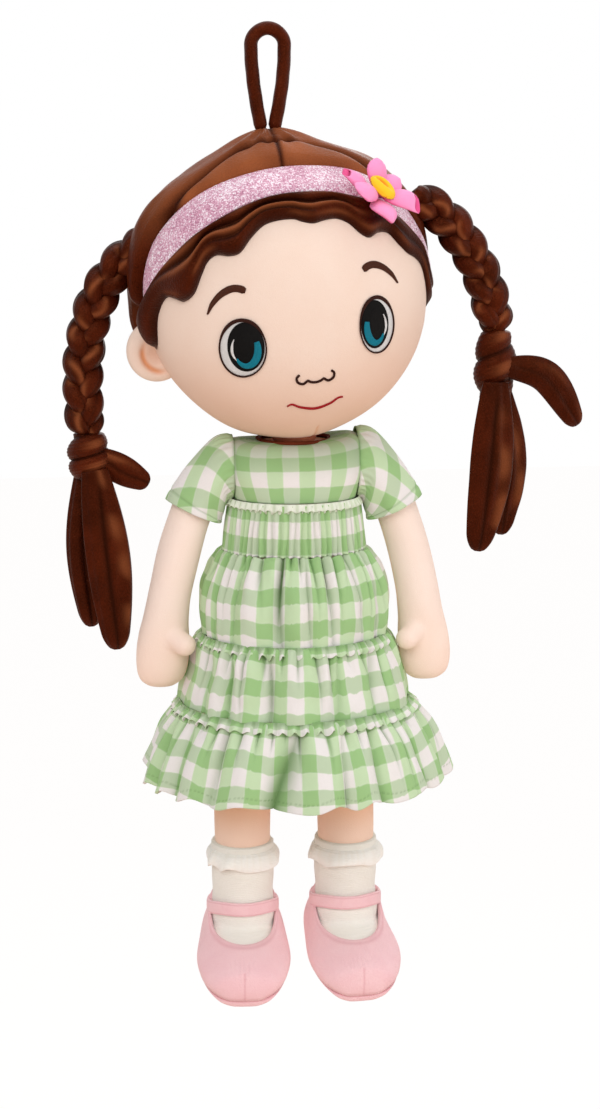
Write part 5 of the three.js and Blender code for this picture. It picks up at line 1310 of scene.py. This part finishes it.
angle = full_turn(96)
shrink, sock_radius, sock_top = 2.7, 18.2, -459.6
cuff_radius, cuff_top, cuff_drop = 18.3, -463.4, 9.4
for side, hand in both_sides:
    middle = beside_middle + side * leg_apart / 2
    along, wide, high = (shoe_rows[:, k:k + 1] for k in range(3))
    y = shoe_heel - along * shoe_length + np.where(along < 0.5, -shrink, shrink) * np.abs(2 * along - 1)
    half = wide * shoe_width / 2 - shrink
    over = np.abs(sin(angle)) ** 0.7 * (high * shoe_height - shrink)
    below = 1.4 * sin(angle) * np.minimum(half, 4) / 8
    foot = joined(cos(angle) * half, y, 0.3 - shoe_height + np.where(sin(angle) > 0, over, below))
    foot = grid_piece("foot", in_foot(foot, side), capped=True)
    level = np.linspace(sock_top, ankle_level - 16, 60)[:, None]
    radius = sock_radius - 0.5 * groove(level + 489, 5) + 1.0 * eased(-level, 496, 503) \
        + 0.25 * wobble(circles(17, angle, level), 26, 140 + side)
    ankle = grid_piece("ankle", circles(radius, angle, level, middle), capped=True)
    piece = melted(f"{hand}_sock_knit", [ankle, foot], 1.1, 6)
    place_piece(piece, sock_knit, f"{hand}_leg", "sock", f"{hand}_sock", fill=0.9)

    turn, share = full_turn(260), shares(40)
    waves = turn * 6 + 1.3 * sin(turn * 2 + side) + 0.9 * sin(turn * 3 + 1)
    neck_in = 0.9 * (1 - eased(share, 0, 0.2))
    out = cuff_radius - neck_in + 3.4 * sin(pi * np.clip(share * 0.62 + 0.05, 0, 1)) \
        + share ** 1.2 * 1.5 * sin(waves)
    pleats = 0.12 * sin(turn * 26 + sin(turn * 4) * 3) * (1 - 0.4 * share)
    level = cuff_top - cuff_drop * share - share * 1.5 * cos(waves + 0.8)
    points = circles(out + pleats, turn, level, middle)
    flat, uv = flat_strip(points)
    # Painted shade in the cuff's pleat valleys, and darker along its lower edge.
    cloth_shell(f"{hand}_sock_frill_knit", points, uv, 1.6, f"{hand}_leg", lit_frill_knit, "sock",
                f"{hand}_sock_frill", flat=flat, rests_on=f"{hand}_sock",
                shade=0.14 * eased(-pleats / 0.12, 0.1, 1) + 0.4 * eased(share, 0.93, 1))


# Shoes: pink plush uppers with a rounded opening over the foot, a seam at the toe, a strap across
# the ankle, and a soft sole with a line of stitches
shoe_plush = napped("pink plush", paint(253, 210, 214), paint(246, 192, 199), paint(214, 136, 146),
                    nap=70, fibre=1500, contrast=0.5, bump=0.0005, rough=0.9, sheen=0.35,
                    sheen_tint=paint(255, 232, 236))
sole_middle, opening_middle = np.array([0, -19.0]), np.array([0, -14.0])


def shoe_outline(margin, count):
    """The shoe's plan, evenly spaced round it: half widths along it, closed at heel and toe."""
    along = np.concatenate([[0.0], shoe_rows[:, 0], [1.0]])
    wide = np.concatenate([[0.0], shoe_rows[:, 1], [0.0]])
    side_points = np.stack([wide * (shoe_width / 2 + margin), shoe_heel - along * shoe_length], 1)
    side_points[:, 1] += np.where(along < 0.02, margin, 0) - np.where(along > 0.98, margin, 0)
    ring = np.concatenate([side_points, (side_points * [-1, 1])[::-1][1:-1]])
    ring = evenly_along(np.concatenate([ring, ring[:1]]), count, endpoint=False)
    return np.stack([smoothed(row, 15) for row in ring.T], 1)


def shoe_top(x, y):
    """The height of the upper over its floor at a place in the plan: h (1 - (x / w)^2)^0.42."""
    along = (shoe_heel - y) / shoe_length
    half = np.interp(along, shoe_rows[:, 0], shoe_rows[:, 1]) * shoe_width / 2
    high = np.interp(along, shoe_rows[:, 0], shoe_rows[:, 2]) * shoe_height
    ends = rolled(along, 0.05) * rolled(1 - along, 0.07)
    return high * ends * np.clip(1 - (x / np.maximum(half, 1)) ** 2, 0, 1) ** 0.42


columns = 260
for side, hand in both_sides:
    outline = shoe_outline(0, columns)[None]
    turn = np.arctan2(outline[..., 0] / 26, -(outline[..., 1] + 12) / 40)
    opening = joined(19.4 * sin(turn), -8.8 - np.where(cos(turn) > 0, 28.5, 26.6) * cos(turn))
    share = shares(56)
    plan = outline + (opening - outline) * (1 - (1 - share[..., None]) ** 0.8) ** 1.5
    rise = shoe_top(plan[..., 0], plan[..., 1])
    rise[0] = 0
    sides_up = groove(np.abs(turn) - 1.95, 0.62) * eased(share, 0.55, 1.0)
    tucked = 1 - 0.035 * (1 - np.clip(rise / 10, 0, 1)) ** 2
    plan = sole_middle + (plan - sole_middle) * tucked[..., None]
    seam = groove(plan[..., 0], 0.6) * (plan[..., 1] < -57.5)
    pucker = groove(plan[..., 0], 7) * eased(-plan[..., 1], 46, 54) * sin(plan[..., 0] * 2.4)
    lumps = wobble(np.concatenate([plan, rise[..., None]], -1), 26, 160 + side) * eased(share, 0, 0.2)
    rise = rise + 9 * sides_up - 0.5 * seam + 0.18 * pucker + 0.35 * lumps
    outer = np.concatenate([plan, (-shoe_height + rise - 0.8 * eased(share, 0.93, 1.0))[..., None]], -1)
    inner = outer[::-3].copy()
    inner[..., :2] = opening_middle + (inner[..., :2] - opening_middle) * 0.93
    inner[..., 2] = np.maximum(inner[..., 2] - 2.4, -shoe_height + 0.1)
    piece = grid_piece(f"{hand}_shoe_upper_plush", in_foot(np.concatenate([outer, inner]), side),
                       round_rows=True)
    edge_stitch = groove((share - 0.95) * 20, 0.5)
    stitches = groove(rise - 1.6, 0.7) * (plan[..., 1] < 18)
    shade = 0.35 * seam + 0.3 * edge_stitch + 0.3 * stitches
    shaded(piece, np.concatenate([shade, 0 * shade[::-3]]))
    place_piece(piece, shoe_plush, f"{hand}_leg", "shoe", f"{hand}_shoe_upper", fill=0.5)

    level = np.array([sole_bottom, sole_bottom, -34.7, -33.4, -31.6, -30.5, -30.3, -30.3])[:, None]
    inset = np.array([1.2, 0.8, 0.2, 0.0, 0.0, 0.5, 1.4, 3.0])[:, None, None]
    base = shoe_outline(-1.9, columns)
    thinned = np.maximum(-31.0 - level, 0) * 0.85 * eased(np.abs(base[:, 0]) / 24, 0.25, 0.95)
    plan = sole_middle + (base - sole_middle) * (1 - inset / 26)
    rings = np.concatenate([plan, (level + thinned)[..., None]], -1)
    sole = grid_piece(f"{hand}_shoe_sole_plush", in_foot(rings, side), capped=True)
    shaded(sole, np.repeat([0.0, 0.0, 0.0, 0.0, 0.1, 0.65, 0.8, 0.6], columns))
    place_piece(sole, shoe_plush, f"{hand}_leg", "shoe", f"{hand}_shoe_sole", fill=0.9)

    middle = beside_middle + side * leg_apart / 2
    turn, section = full_turn(160), full_turn(40).T
    round_c = np.sign(cos(section)) * np.abs(cos(section)) ** 0.7
    round_s = np.sign(sin(section)) * np.abs(sin(section)) ** 0.55
    radius = 20.0 + 1.15 * round_c + 0.25 * sin(turn * 2 + 1)
    level = ankle_level - 3.8 + 0.8 * side + 4.0 * round_s - 3.4 * eased(sin(turn), -0.9, 0.1)
    piece = grid_piece(f"{hand}_shoe_strap_plush", circles(radius, turn, level, middle), round_rows=True)
    shaded(piece, 0.4 * groove(np.abs(round_s) - 0.78, 0.07) + 0 * turn)
    place_piece(piece, shoe_plush, f"{hand}_leg", "shoe", f"{hand}_shoe_strap", fill=0.6)
